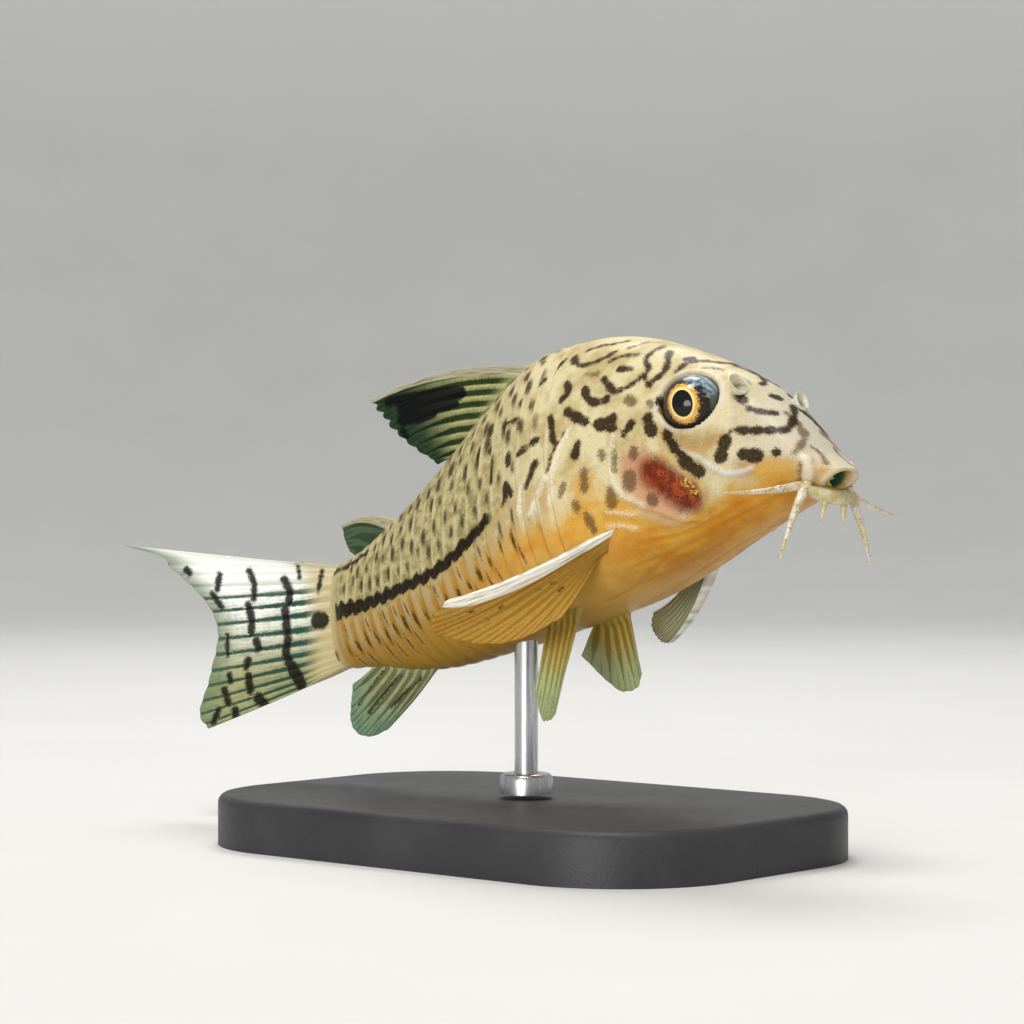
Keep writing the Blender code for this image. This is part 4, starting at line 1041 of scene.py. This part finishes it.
# The nostrils. A small raised cup of thin skin stands round each front one, wider at its mouth
# and higher at its back. It is a short cone with a wall, sheared to stand up behind.
NOSTRIL_RADIUS = 0.0135
NOSTRIL_ROOT_SHARE = 0.8
NOSTRIL_HEIGHT = 0.034
NOSTRIL_SUNK = 0.25
NOSTRIL_WALL = 0.00009
NOSTRIL_SHEAR = 0.45
FLAP_CREAM = (0.66, 0.67, 0.56)
FLAP_GREEN = (0.46, 0.54, 0.40)
flap_paint = new_paint(
    "flap_paint", coat_weight=0.4, coat_roughness=0.1, subsurface_weight=0.3, roughness=0.35,
    subsurface_scale=0.0006,
)
flap_clouds = ramp(flap_paint, grain(flap_paint, 2500, 4), 0.35, 0.65)
join_paint(flap_paint, mixed(flap_paint, flap_clouds, FLAP_CREAM, FLAP_GREEN))
flap_radius, flap_height = NOSTRIL_RADIUS * LENGTH, NOSTRIL_HEIGHT * LENGTH
for side, word in SIDES:
    nostril_spot = nostril_spots[side]
    out = skin_normal(*nostril_spot, side)
    square = Matrix(axes_from(out, nostril_spot[0])).transposed()
    behind = direction(1, 0, 0, nostril_spot[0])
    bm = bmesh.new()
    bmesh.ops.create_cone(
        bm, cap_ends=False, segments=28, radius1=flap_radius * NOSTRIL_ROOT_SHARE,
        radius2=flap_radius, depth=flap_height,
    )
    uprights = [e for e in bm.edges if abs(e.verts[0].co.z - e.verts[1].co.z) > flap_height / 2]
    bmesh.ops.subdivide_edges(bm, edges=uprights, cuts=5)
    bmesh.ops.solidify(bm, geom=bm.faces[:], thickness=NOSTRIL_WALL)
    bmesh.ops.recalc_face_normals(bm, faces=bm.faces)
    root = Vector(skin_at(*nostril_spot, side)) + out * (NOSTRIL_SUNK * flap_height)
    bmesh.ops.transform(bm, matrix=Matrix.Translation(root) @ square.to_4x4(), verts=bm.verts)
    for vert in bm.verts:
        height = (vert.co - root).dot(out) / flap_height + 0.5
        aft = (vert.co - root).dot(behind) / flap_radius
        vert.co += out * (NOSTRIL_SHEAR * flap_height * height * (aft - 0.3))
    place_piece(f"nostril_{word}", mesh_of(bm, "nostril"), flap_paint)


# The fins. Thin webs between bony rays that fork towards their tips, with a stout spine in front
# on the dorsal, the adipose and the pectoral fins. Each is one web, thickened along its rays.
DORSAL_ROOT = (0.474, 0.650)
DORSAL_TIPS = [
    (0.00, 0.828, -0.008, 0.311), (0.15, 0.818, -0.008, 0.292), (0.35, 0.795, -0.007, 0.264),
    (0.60, 0.762, -0.005, 0.226), (0.80, 0.730, -0.003, 0.196), (1.00, 0.705, 0.000, 0.174),
]
ADIPOSE_ROOT = (0.800, 0.915)
ADIPOSE_TIPS = [(0.0, 0.950, 0.0, 0.142), (0.5, 0.946, 0.0, 0.120), (1.0, 0.936, 0.0, 0.101)]
ANAL_ROOT = (0.768, 0.885)
ANAL_TIPS = [
    (0.00, 0.890, 0.0, -0.180), (0.30, 0.930, 0.0, -0.184), (0.60, 0.957, 0.0, -0.163),
    (1.00, 0.950, 0.0, -0.100),
]
CAUDAL_ROOT = 0.955
CAUDAL_ROOT_SHARE = 0.97
CAUDAL_TIPS = [
    (0.00, 1.4015, 0.0, 0.168), (0.025, 1.395, 0.0, 0.165), (0.06, 1.338, 0.0, 0.146),
    (0.12, 1.318, 0.0, 0.126), (0.20, 1.290, 0.0, 0.105),
    (0.36, 1.240, 0.0, 0.055), (0.50, 1.222, 0.0, 0.012), (0.72, 1.238, 0.0, -0.063),
    (0.90, 1.254, 0.0, -0.118), (1.00, 1.240, 0.0, -0.140),
]
PECTORAL_ROOT = {
    "right": ((0.312, math.radians(103)), (0.338, math.radians(116))),
    "left": ((0.312, math.radians(116)), (0.338, math.radians(103))),
}
PECTORAL_TIPS = {
    "right": [
        (0.00, 0.556, 0.200, -0.105), (0.15, 0.592, 0.200, -0.125), (0.32, 0.598, 0.190, -0.142),
        (0.55, 0.545, 0.174, -0.170), (0.80, 0.477, 0.158, -0.185), (1.00, 0.410, 0.140, -0.172),
    ],
    "left": [
        (0.00, 0.466, 0.160, -0.168), (0.25, 0.482, 0.163, -0.164), (0.55, 0.496, 0.165, -0.148),
        (0.80, 0.500, 0.166, -0.130), (1.00, 0.492, 0.166, -0.114),
    ],
}
PELVIC_ROOT = ((0.445, math.radians(161)), (0.505, math.radians(158)))
PELVIC_TIPS = {
    "right": [
        (0.0, 0.508, 0.080, -0.275), (0.3, 0.514, 0.090, -0.286), (0.7, 0.522, 0.096, -0.275),
        (1.0, 0.522, 0.096, -0.236),
    ],
    "left": [
        (0.0, 0.475, 0.088, -0.218), (0.3, 0.494, 0.092, -0.235), (0.6, 0.526, 0.093, -0.226),
        (1.0, 0.578, 0.088, -0.158),
    ],
}
WEB_MM = 0.12
WEB_TAPER = 0.4
COLUMNS_A_RAY = 10
NOTCH_SHAPE = 0.36
SPINE_WIDTHS = (1.35, 0.22)
SPINE_TAPER = 0.45
SUNK_ROOT = 0.010
FLANK_ROOT_SHARE = 0.93
DORSAL_BLOTCH = [
    (5.0, [(388, 403), (400, 399)]),
    (7.5, [(400, 402), (430, 396), (462, 393)]),
    (8.0, [(403, 410), (430, 407), (455, 401)]),
    (6.5, [(402, 420), (418, 418), (434, 413)]),
    (4.5, [(404, 431), (407, 437)]),
    (3.6, [(470, 438), (482, 432), (492, 424), (503, 408), (512, 396)]),
    (3.6, [(512, 388), (524, 382)]),
]
CAUDAL_BARS = [
    (6.2, [(285, 580), (290, 590), (290, 601)]),
    (6.6, [(286, 610), (287, 621), (288, 632)]),
    (6.6, [(289, 640), (287, 653), (291, 665)]),
    (8.4, [(293, 668), (298, 676), (302, 684)]),
    (5.0, [(250, 571), (255, 585), (254.5, 598)]),
    (5.8, [(249, 606), (252, 618), (252, 632)]),
    (5.8, [(257, 641), (259, 648)]),
    (5.6, [(249, 661), (247, 666)]),
    (6.0, [(249, 677), (251, 690)]),
    (6.8, [(259, 698), (267, 706)]),
    (5.2, [(220, 576), (218, 588)]),
    (4.2, [(213, 594), (222, 607)]),
    (3.6, [(228, 636), (228, 655)]),
    (4.4, [(230, 675), (231, 681)]),
    (5.0, [(225, 690), (229, 703)]),
    (5.8, [(236, 711), (237, 721)]),
    (5.0, [(187, 570), (190, 573)]),
    (4.4, [(219, 710), (214, 722)]),
    (4.0, [(300, 566), (301, 577)]),
    (4.0, [(326, 572), (322, 590)]),
    (10.4, [(319.5, 620.8), (326.5, 620.8)]),
]
PECTORAL_MARKS = [
    (2.0, [(552, 584), (556, 583)]),
    (2.0, [(560, 590), (563, 588)]),
    (1.6, [(536, 590), (540, 588)]),
    (1.6, [(520, 599), (524, 597)]),
    (1.6, [(500, 607), (503, 606)]),
    (1.4, [(470, 612), (473, 611)]),
    (1.4, [(486, 619), (489, 618)]),
]
ANAL_BARS = [
    (3.0, [(422, 678), (410, 690), (392, 706)]),
    (2.6, [(402, 676), (388, 690), (370, 712)]),
    (2.2, [(384, 672), (370, 690), (360, 704)]),
]


def fin_web(
    rays, roots, tips, lean, side=1, *, ray_mm, spine_mm=0.0, spine_wide=1.0, notch=0.01,
    root_mm=0.6, root_share=0.18, fork=0.4, spread=0.24, ray_wide=0.15, rows=64,
):
    """A fin's web as a bmesh, with its fields.

    roots and tips give (back, left, up) for a share from the first ray to the last, and lean
    bows the web (left, up). It is notched between the rays' tips, and root_mm thick where it
    grows out of the flesh. The spine is spine_wide rays broad. Each ray is ray_wide of the room
    it has, and forks from share fork on, by spread of that room.
    """
    columns = (rays - 1) * COLUMNS_A_RAY + 1
    bm = bmesh.new()
    bmesh.ops.create_grid(bm, x_segments=rows - 1, y_segments=columns - 1, size=1)
    order = np.arange(len(bm.verts))
    t = (order // rows) / (columns - 1)
    outward = (order % rows) / (rows - 1)
    at_ray = t * (rays - 1)
    off_ray = np.abs(at_ray - np.rint(at_ray))
    forked = spread * ease((outward - fork) / 0.5)
    ridge = np.exp(-(((off_ray - forked) / ray_wide) ** 2))
    tip_ridge = np.exp(-((off_ray / NOTCH_SHAPE) ** 2))
    short = np.abs(draw.normal(size=rays))
    short[0] = 0
    lengths = 1 - notch * short[np.rint(at_ray).astype(int)]
    ragged_edge = (lengths - notch * (1 - tip_ridge)) * outward
    root, tip = np.array(roots(t)), np.array(tips(t))
    reach = np.linalg.norm(tip - root, axis=1)[:, None]
    middle = (root + tip) / 2 + np.array([0, *lean]) * reach / reach[0]
    root, middle, tip = (posed(p[:, 0], side * p[:, 1], p[:, 2]) for p in (root, middle, tip))
    r = ragged_edge[:, None]
    places = root * (1 - r) ** 2 + middle * (2 * r * (1 - r)) + tip * r**2
    thick = between(WEB_MM, ray_mm, ridge) * between(1.0, WEB_TAPER, outward)
    spine_reach = spine_wide * between(*SPINE_WIDTHS, outward**1.5)
    spine = np.exp(-((at_ray / spine_reach) ** 4)) if spine_mm else np.zeros(len(t))
    spine_bulge = np.exp(-((at_ray / spine_reach / 0.85) ** 2))
    thick = np.maximum(thick, spine_mm * spine_bulge * between(1.0, SPINE_TAPER, outward))
    thick = np.maximum(thick, root_mm * (1 - ease((outward - root_share / 3) / root_share)))
    for vert, place in zip(bm.verts, places):
        vert.co = place
    return bm, {"ray": ridge, "outward": outward, "across": t, "spine": spine, "thick": thick}


def web_dots(bm, strokes):
    """Round dots (place, radius in mm) on a web, along strokes of the picture."""
    tree = BVHTree.FromBMesh(bm)
    dots = []
    for radius, pixels in strokes:
        for x, y in smooth_stroke(pixels):
            hit = tree.ray_cast(VIEW_FROM, sight_line(x, y))[0]
            if hit is not None:
                dots.append((hit, radius * MM_A_PIXEL))
    return dots


def place_fin(name, node, web, paint, strokes=()):
    """Thickens a web along its rays and puts the fin in place of its node."""
    bm, fields = web
    thick = fields.pop("thick")
    spots = find_points([v.co.copy() for v in bm.verts])
    fields["dark"] = nearness(spots, len(bm.verts), web_dots(bm, strokes), NEAR_MARK)
    weight = bm.verts.layers.deform.verify()
    for vert, share in zip(bm.verts, thick / thick.max()):
        vert[weight][0] = share
    mesh = mesh_of(bm, name, fields)
    sheet = bpy.data.objects.new(name + "_web", mesh)
    bpy.context.scene.collection.objects.link(sheet)
    sheet.vertex_groups.new(name="thick")
    wall = sheet.modifiers.new("wall", "SOLIDIFY")
    wall.thickness = thick.max() / 1000
    wall.offset = 0
    wall.vertex_group = "thick"
    solid = bpy.data.meshes.new_from_object(sheet.evaluated_get(bpy.context.evaluated_depsgraph_get()))
    bpy.data.objects.remove(sheet)
    place_piece(name, solid, paint, (node,))


def fin_paint(
    name, ray_tone, web_tone, spot_tone=(0.010, 0.008, 0.005), narrowing=0.1, ray_from=(0.10, 0.50),
    flesh_to=(0.0, 0.16), flesh_tone=None, spine_tones=((0.90, 0.89, 0.82), (0.54, 0.48, 0.34)),
    joint_share=0.3, softness=0.09,
):
    """Pale bony rays with fine joints against a darker web, with spots that narrow between rays.

    ray_tone and web_tone make their colours in the paint. The flesh's colour reaches out along
    the fin over the shares flesh_to.
    """
    paint = new_paint(
        name, coat_weight=0.04, coat_roughness=0.15, subsurface_weight=0.05,
        subsurface_scale=0.0004, specular_ior_level=0.06,
    )
    clouds, fine_grain = grain(paint, 1100, 4), grain(paint, 9000, 3)
    along = sum_of(paint, field(paint, "outward"), 7.0, "MULTIPLY")
    aside = sum_of(paint, field(paint, "across"), 90.0, "MULTIPLY")
    place = add_node(paint, "ShaderNodeCombineXYZ", {"X": aside, "Y": along}).outputs["Vector"]
    streaks = add_node(paint, "ShaderNodeTexNoise", {"Vector": place, "Scale": 1.0}).outputs["Fac"]
    ray = field(paint, "ray")
    speckled_ray = sum_of(paint, ray, ramp(paint, fine_grain, 0.3, 0.7, -0.14, 0.14))
    joint_wave = sum_of(paint, field(paint, "outward"), 150.0, "MULTIPLY")
    joints = ramp(paint, sum_of(paint, joint_wave, 0.0, "SINE"), 0.70, 1.0, 0.0, joint_share)
    tone = mixed(paint, joints, ray_tone(paint), web_tone(paint))
    tone = mixed(paint, ramp(paint, speckled_ray, *ray_from), web_tone(paint), tone)
    tone = mixed(paint, ramp(paint, streaks, 0.42, 0.72, 0.0, 0.35), tone, web_tone(paint))
    tone = mixed(paint, ramp(paint, clouds, 0.45, 0.75, 0.0, 0.25), tone, web_tone(paint))
    edge = sum_of(paint, field(paint, "dark"), ramp(paint, fine_grain, 0.3, 0.7, -0.09, 0.09))
    edge = sum_of(paint, edge, ramp(paint, ray, 0.1, 0.6, narrowing, 0.0))
    flesh_share = ramp(paint, field(paint, "outward"), *flesh_to, 0.85, 0.0)
    tone = mixed(paint, flesh_share, tone, flesh_tone or ray_tone(paint))
    tone = mixed(paint, ramp(paint, edge, -softness, softness, 0.96, 0.0), tone, spot_tone)
    spine_tone = mixed(paint, ramp(paint, streaks, 0.40, 0.65), *spine_tones)
    tone = mixed(paint, ramp(paint, field(paint, "spine"), 0.35, 0.65), tone, spine_tone)
    rough = ramp(paint, fine_grain, 0.3, 0.7, 0.34, 0.5)
    join_paint(paint, tone, rough, [(ray, 0.04), (streaks, 0.02), (fine_grain, 0.010)])
    return paint


def even_tone(tone, outer=None, far=1.0):
    """A colour for a fin, which goes over to an outer one towards the fin's edge."""

    def made(paint):
        outward = ramp(paint, field(paint, "outward"), 0.25, far)
        return mixed(paint, outward, tone, outer or tone)

    return made


def root_along(level, ends, sink):
    """The root line of a fin on the back or the belly, sunk in the flesh."""

    def at(t):
        s = between(*ends, t)
        return np.stack([s, 0 * s, level(s) + sink], axis=-1)

    return at


def root_on_flank(front, rear):
    """The root line of a paired fin, from one (station, angle) of the skin to another."""

    def at(t):
        s, angle = (between(a, b, t) for a, b in zip(front, rear))
        out, up = flesh(s, angle)
        middle = widest_level(s)
        return np.stack([s, out * FLANK_ROOT_SHARE, between(middle, up, FLANK_ROOT_SHARE)], axis=-1)

    return at


# The fins on the back are dark green, with pale rays in the dorsal fin and a black blotch.
DORSAL_RAYS = even_tone((0.38, 0.38, 0.16), (0.022, 0.048, 0.020), 0.85)
DORSAL_WEB = even_tone((0.020, 0.036, 0.010), (0.002, 0.008, 0.004), 0.85)
DORSAL_BLACK = (0.002, 0.002, 0.003)
DORSAL_SPINE = ((0.50, 0.46, 0.32), (0.24, 0.22, 0.14))
ADIPOSE_RAYS = even_tone((0.07, 0.11, 0.055))
ADIPOSE_WEB = even_tone((0.028, 0.055, 0.028))
ADIPOSE_SPINE = ((0.50, 0.46, 0.30), (0.28, 0.25, 0.14))
ANAL_RAYS = even_tone((0.42, 0.44, 0.26), (0.20, 0.30, 0.19))
ANAL_WEB = even_tone((0.15, 0.16, 0.055), (0.035, 0.085, 0.045))
ANAL_BROWN = (0.030, 0.030, 0.014)
dorsal_paint = fin_paint(
    "dorsal_paint", DORSAL_RAYS, DORSAL_WEB, DORSAL_BLACK, narrowing=0.0, spine_tones=DORSAL_SPINE,
)
roots = root_along(back_line, DORSAL_ROOT, -SUNK_ROOT)
web = fin_web(
    9, roots, smooth_line(DORSAL_TIPS), (0.0, 0.046), ray_mm=0.46, spine_mm=0.95, spine_wide=0.80,
    notch=0.03, ray_wide=0.20,
)
place_fin("fin_dorsal", "dorsal_fin", web, dorsal_paint, DORSAL_BLOTCH)
adipose_paint = fin_paint("adipose_paint", ADIPOSE_RAYS, ADIPOSE_WEB, spine_tones=ADIPOSE_SPINE)
roots = root_along(back_line, ADIPOSE_ROOT, -SUNK_ROOT)
web = fin_web(
    4, roots, smooth_line(ADIPOSE_TIPS), (0.0, 0.030), ray_mm=0.16, spine_mm=0.75, spine_wide=0.60,
    root_mm=0.4, rows=40,
)
place_fin("fin_adipose", "adipose_fin", web, adipose_paint)
anal_paint = fin_paint("anal_paint", ANAL_RAYS, ANAL_WEB, ANAL_BROWN)
roots = root_along(belly_line, ANAL_ROOT, SUNK_ROOT)
web = fin_web(8, roots, smooth_line(ANAL_TIPS), (0.0, -0.006), ray_mm=0.38, notch=0.008, ray_wide=0.19)
place_fin("fin_anal", "anal_fin", web, anal_paint, ANAL_BARS)


def caudal_root(t):
    """The root line of the tail fin, sunk in the end of the tail."""
    _, level = flesh(1.0, math.pi * t)
    return np.stack([CAUDAL_ROOT + 0 * t, 0 * t, level * CAUDAL_ROOT_SHARE], axis=-1)


def caudal_tone(upper, lower, margin, from_share, to_share):
    """A colour for the tail fin: one for its upper lobe, one for its lower, one for its edge."""

    def made(paint):
        lobe = ramp(paint, field(paint, "across"), from_share, to_share)
        tone = mixed(paint, lobe, upper, lower)
        return mixed(paint, ramp(paint, field(paint, "outward"), 0.80, 1.0, 0.0, 0.8), tone, margin)

    return made


# The tail fin is white above and green below. The near pectoral fin and the pelvic fins are amber
# where they leave the belly, and the far pectoral fin is pale.
CAUDAL_RAYS = caudal_tone((0.92, 0.94, 0.87), (0.34, 0.34, 0.15), (0.16, 0.22, 0.12), 0.30, 0.80)
CAUDAL_WEB = caudal_tone((0.84, 0.88, 0.80), (0.022, 0.070, 0.050), (0.05, 0.10, 0.065), 0.20, 0.34)
PECTORAL_RAYS = even_tone((0.40, 0.23, 0.045))
PECTORAL_WEB = even_tone((0.27, 0.135, 0.011))
FAR_PECTORAL_RAYS = even_tone((0.56, 0.54, 0.36))
FAR_PECTORAL_WEB = even_tone((0.26, 0.30, 0.16))
PELVIC_RAYS = even_tone((0.52, 0.37, 0.10), (0.42, 0.47, 0.24), 0.85)
PELVIC_WEB = even_tone((0.30, 0.19, 0.022), (0.17, 0.22, 0.085), 0.85)
caudal_paint = fin_paint(
    "caudal_paint", CAUDAL_RAYS, CAUDAL_WEB, narrowing=0.06, ray_from=(0.10, 0.45),
    flesh_to=(0.14, 0.34), flesh_tone=TAIL_CREAM, joint_share=0.10, softness=0.15,
)
web = fin_web(
    15, caudal_root, smooth_line(CAUDAL_TIPS), (0.0, 0.0), ray_mm=0.34, notch=0.004, root_mm=0.85,
    root_share=0.30, fork=0.3, spread=0.12, ray_wide=0.22, rows=90,
)
place_fin("fin_caudal", "caudal_fin", web, caudal_paint, CAUDAL_BARS)
pelvic_paint = fin_paint("pelvic_paint", PELVIC_RAYS, PELVIC_WEB)
pectoral_paint = {
    "right": fin_paint("pectoral_paint", PECTORAL_RAYS, PECTORAL_WEB),
    "left": fin_paint("far_pectoral_paint", FAR_PECTORAL_RAYS, FAR_PECTORAL_WEB),
}
for side, word in SIDES:
    roots, tips = root_on_flank(*PECTORAL_ROOT[word]), smooth_line(PECTORAL_TIPS[word])
    web = fin_web(
        10, roots, tips, (0.010, -0.026), side, ray_mm=0.20, spine_mm=1.05, spine_wide=2.0,
        notch=0.014, root_mm=0.9,
    )
    strokes = PECTORAL_MARKS if word == "right" else ()
    place_fin(f"fin_pectoral_{word}", f"pectoral_fin_{word}", web, pectoral_paint[word], strokes)
    roots, tips = root_on_flank(*PELVIC_ROOT), smooth_line(PELVIC_TIPS[word])
    web = fin_web(6, roots, tips, (0.0, 0.0), side, ray_mm=0.32, notch=0.010, ray_wide=0.20)
    place_fin(f"fin_pelvic_{word}", f"pelvic_fin_{word}", web, pelvic_paint)


# The display stand. A moulded base with rounded corners and a fine, even texture, and a brushed
# steel rod in a turned collar, which holds the fish up by its belly.
BASE_SIZE = (0.042, 0.028, 0.0035)
BASE_CORNER = 0.009
BASE_EDGE = 0.0006
ROD_RADIUS = 0.0008
COLLAR_RADIUS = 0.0018
COLLAR_HEIGHT = 0.0014
COLLAR_EDGE = 0.0004
ROD_IN_BELLY = 0.0004
ROD_GAP = 0.0003
SHARP_FROM = math.radians(40)
BASE_BLACK = (0.022, 0.022, 0.024)
BASE_GREY = (0.034, 0.034, 0.037)
STEEL_LIGHT = (0.58, 0.59, 0.60)
STEEL_DARK = (0.42, 0.43, 0.44)
base_paint = new_paint("base_paint", specular_ior_level=0.4)
pebble = grain(base_paint, 5200, 3)
haze = grain(base_paint, 120, 4)
tone = mixed(base_paint, ramp(base_paint, haze, 0.35, 0.7), BASE_BLACK, BASE_GREY)
join_paint(base_paint, tone, ramp(base_paint, haze, 0.3, 0.7, 0.42, 0.55), [(pebble, 0.03)])
rod_paint = new_paint("rod_paint", metallic=1.0)
brushed = grain(rod_paint, 9000, 2, stretch={"Scale": (1.0, 1.0, 0.03)})
tone = mixed(rod_paint, ramp(rod_paint, brushed, 0.3, 0.7), STEEL_LIGHT, STEEL_DARK)
join_paint(rod_paint, tone, ramp(rod_paint, brushed, 0.3, 0.7, 0.22, 0.38), [(brushed, 0.006)])
rounded = {"affect": "EDGES", "profile": 0.5, "material": -1}
bm = bmesh.new()
bmesh.ops.create_cube(bm, size=1)
bmesh.ops.scale(bm, vec=BASE_SIZE, verts=bm.verts)
bmesh.ops.translate(bm, vec=(0, 0, BASE_SIZE[2] / 2), verts=bm.verts)
uprights = [e for e in bm.edges if abs(e.verts[0].co.z - e.verts[1].co.z) > BASE_SIZE[2] / 2]
bmesh.ops.bevel(bm, geom=uprights, offset=BASE_CORNER, segments=24, **rounded)
top_face = max(bm.faces, key=lambda face: face.calc_center_median().z)
bmesh.ops.bevel(bm, geom=top_face.edges[:], offset=BASE_EDGE, segments=4, **rounded)
base_mesh = mesh_of(bm, "stand_plinth")
base_mesh.set_sharp_from_angle(angle=SHARP_FROM)
place_piece("stand_plinth", base_mesh, base_paint, ("stand_base",))
bm = bmesh.new()
foot = BASE_SIZE[2] + ROD_GAP
bmesh.ops.create_cone(
    bm, cap_ends=True, segments=64, radius1=COLLAR_RADIUS, radius2=COLLAR_RADIUS, depth=COLLAR_HEIGHT,
    matrix=Matrix.Translation((0, 0, foot + COLLAR_HEIGHT / 2)),
)
rim = max(bm.faces, key=lambda face: face.calc_center_median().z).edges[:]
bmesh.ops.bevel(bm, geom=rim, offset=COLLAR_EDGE, segments=4, **rounded)
rod_height = ROD_TOP + ROD_IN_BELLY - foot
bmesh.ops.create_cone(
    bm, cap_ends=True, segments=48, radius1=ROD_RADIUS, radius2=ROD_RADIUS, depth=rod_height,
    matrix=Matrix.Translation((0, 0, foot + rod_height / 2)),
)
rod_mesh = mesh_of(bm, "stand_post")
rod_mesh.set_sharp_from_angle(angle=SHARP_FROM)
place_piece("stand_post", rod_mesh, rod_paint, ("stand_rod",))


# The studio. A pale floor that curves up into a wall all round, and three soft lights: one over
# the fish, one in front of it, and one behind it. The floor is a profile spun full circle.
FLOOR_RADIUS = 0.40
SWEEP = 0.30
SWEEP_STEPS = 12
WALL_TOP = 1.1
FLOOR_TONES = ((0.60, 0.60, 0.59), (0.62, 0.62, 0.61))
WALL_TONE = (0.90, 0.90, 0.89)
LIT_AT = Vector((0, 0, 0.02))
LIGHTS = {
    "key": ((0.04, -0.11, 0.43), 0.16, 1.20, (1.0, 0.98, 0.95)),
    "front": ((0.12, -0.40, 0.05), 0.20, 1.10, (1.0, 0.99, 0.97)),
    "back": ((-0.14, 0.16, 0.38), 0.22, 1.0, (1.0, 0.99, 0.97)),
}
AIR_TONE = (0.95, 0.97, 1.0, 1)
AIR_STRENGTH = 0.40
floor_paint = new_paint("floor_paint", roughness=0.75)
floor_cloud = grain(floor_paint, 30, 3)
tone = mixed(floor_paint, ramp(floor_paint, floor_cloud, 0.3, 0.7), *FLOOR_TONES)
floor_place = add_node(floor_paint, "ShaderNodeTexCoord", {}).outputs["Object"]
level = add_node(floor_paint, "ShaderNodeSeparateXYZ", {"Vector": floor_place}).outputs["Z"]
join_paint(floor_paint, mixed(floor_paint, ramp(floor_paint, level, 0.0, SWEEP), tone, WALL_TONE))
bm = bmesh.new()
profile = [(0.0, 0.0), (FLOOR_RADIUS, 0.0)]
for k in range(1, SWEEP_STEPS + 1):
    turn = math.pi / 2 * k / SWEEP_STEPS
    profile.append((FLOOR_RADIUS + SWEEP * math.sin(turn), SWEEP * (1 - math.cos(turn))))
profile.append((FLOOR_RADIUS + SWEEP, WALL_TOP))
chain = [bm.verts.new((x, 0, z)) for x, z in profile]
edges = [bm.edges.new(pair) for pair in zip(chain, chain[1:])]
bmesh.ops.spin(
    bm, geom=chain + edges, cent=(0, 0, 0), axis=(0, 0, 1), angle=math.tau, steps=96, use_merge=True,
)
bmesh.ops.remove_doubles(bm, verts=bm.verts, dist=1e-6)
bmesh.ops.recalc_face_normals(bm, faces=bm.faces)
floor_mesh = mesh_of(bm, "studio_floor")
floor_mesh.materials.append(floor_paint)
studio_floor = bpy.data.objects.new("studio_floor", floor_mesh)
bpy.context.scene.collection.objects.link(studio_floor)
for word, (place, width, watts, tint) in LIGHTS.items():
    lamp_data = bpy.data.lights.new(word, "AREA")
    lamp_data.shape = "DISK"
    lamp_data.size = width
    lamp_data.energy = watts
    lamp_data.color = tint
    lamp = bpy.data.objects.new(word, lamp_data)
    lamp.location = place
    lamp.rotation_euler = (LIT_AT - Vector(place)).to_track_quat("-Z", "Y").to_euler()
    bpy.context.scene.collection.objects.link(lamp)
world = bpy.data.worlds.new("studio_air")
world.use_nodes = True
air = world.node_tree.nodes["Background"]
air.inputs["Color"].default_value = AIR_TONE
air.inputs["Strength"].default_value = AIR_STRENGTH
bpy.context.scene.world = world
bpy.context.scene.view_settings.view_transform = "Standard"
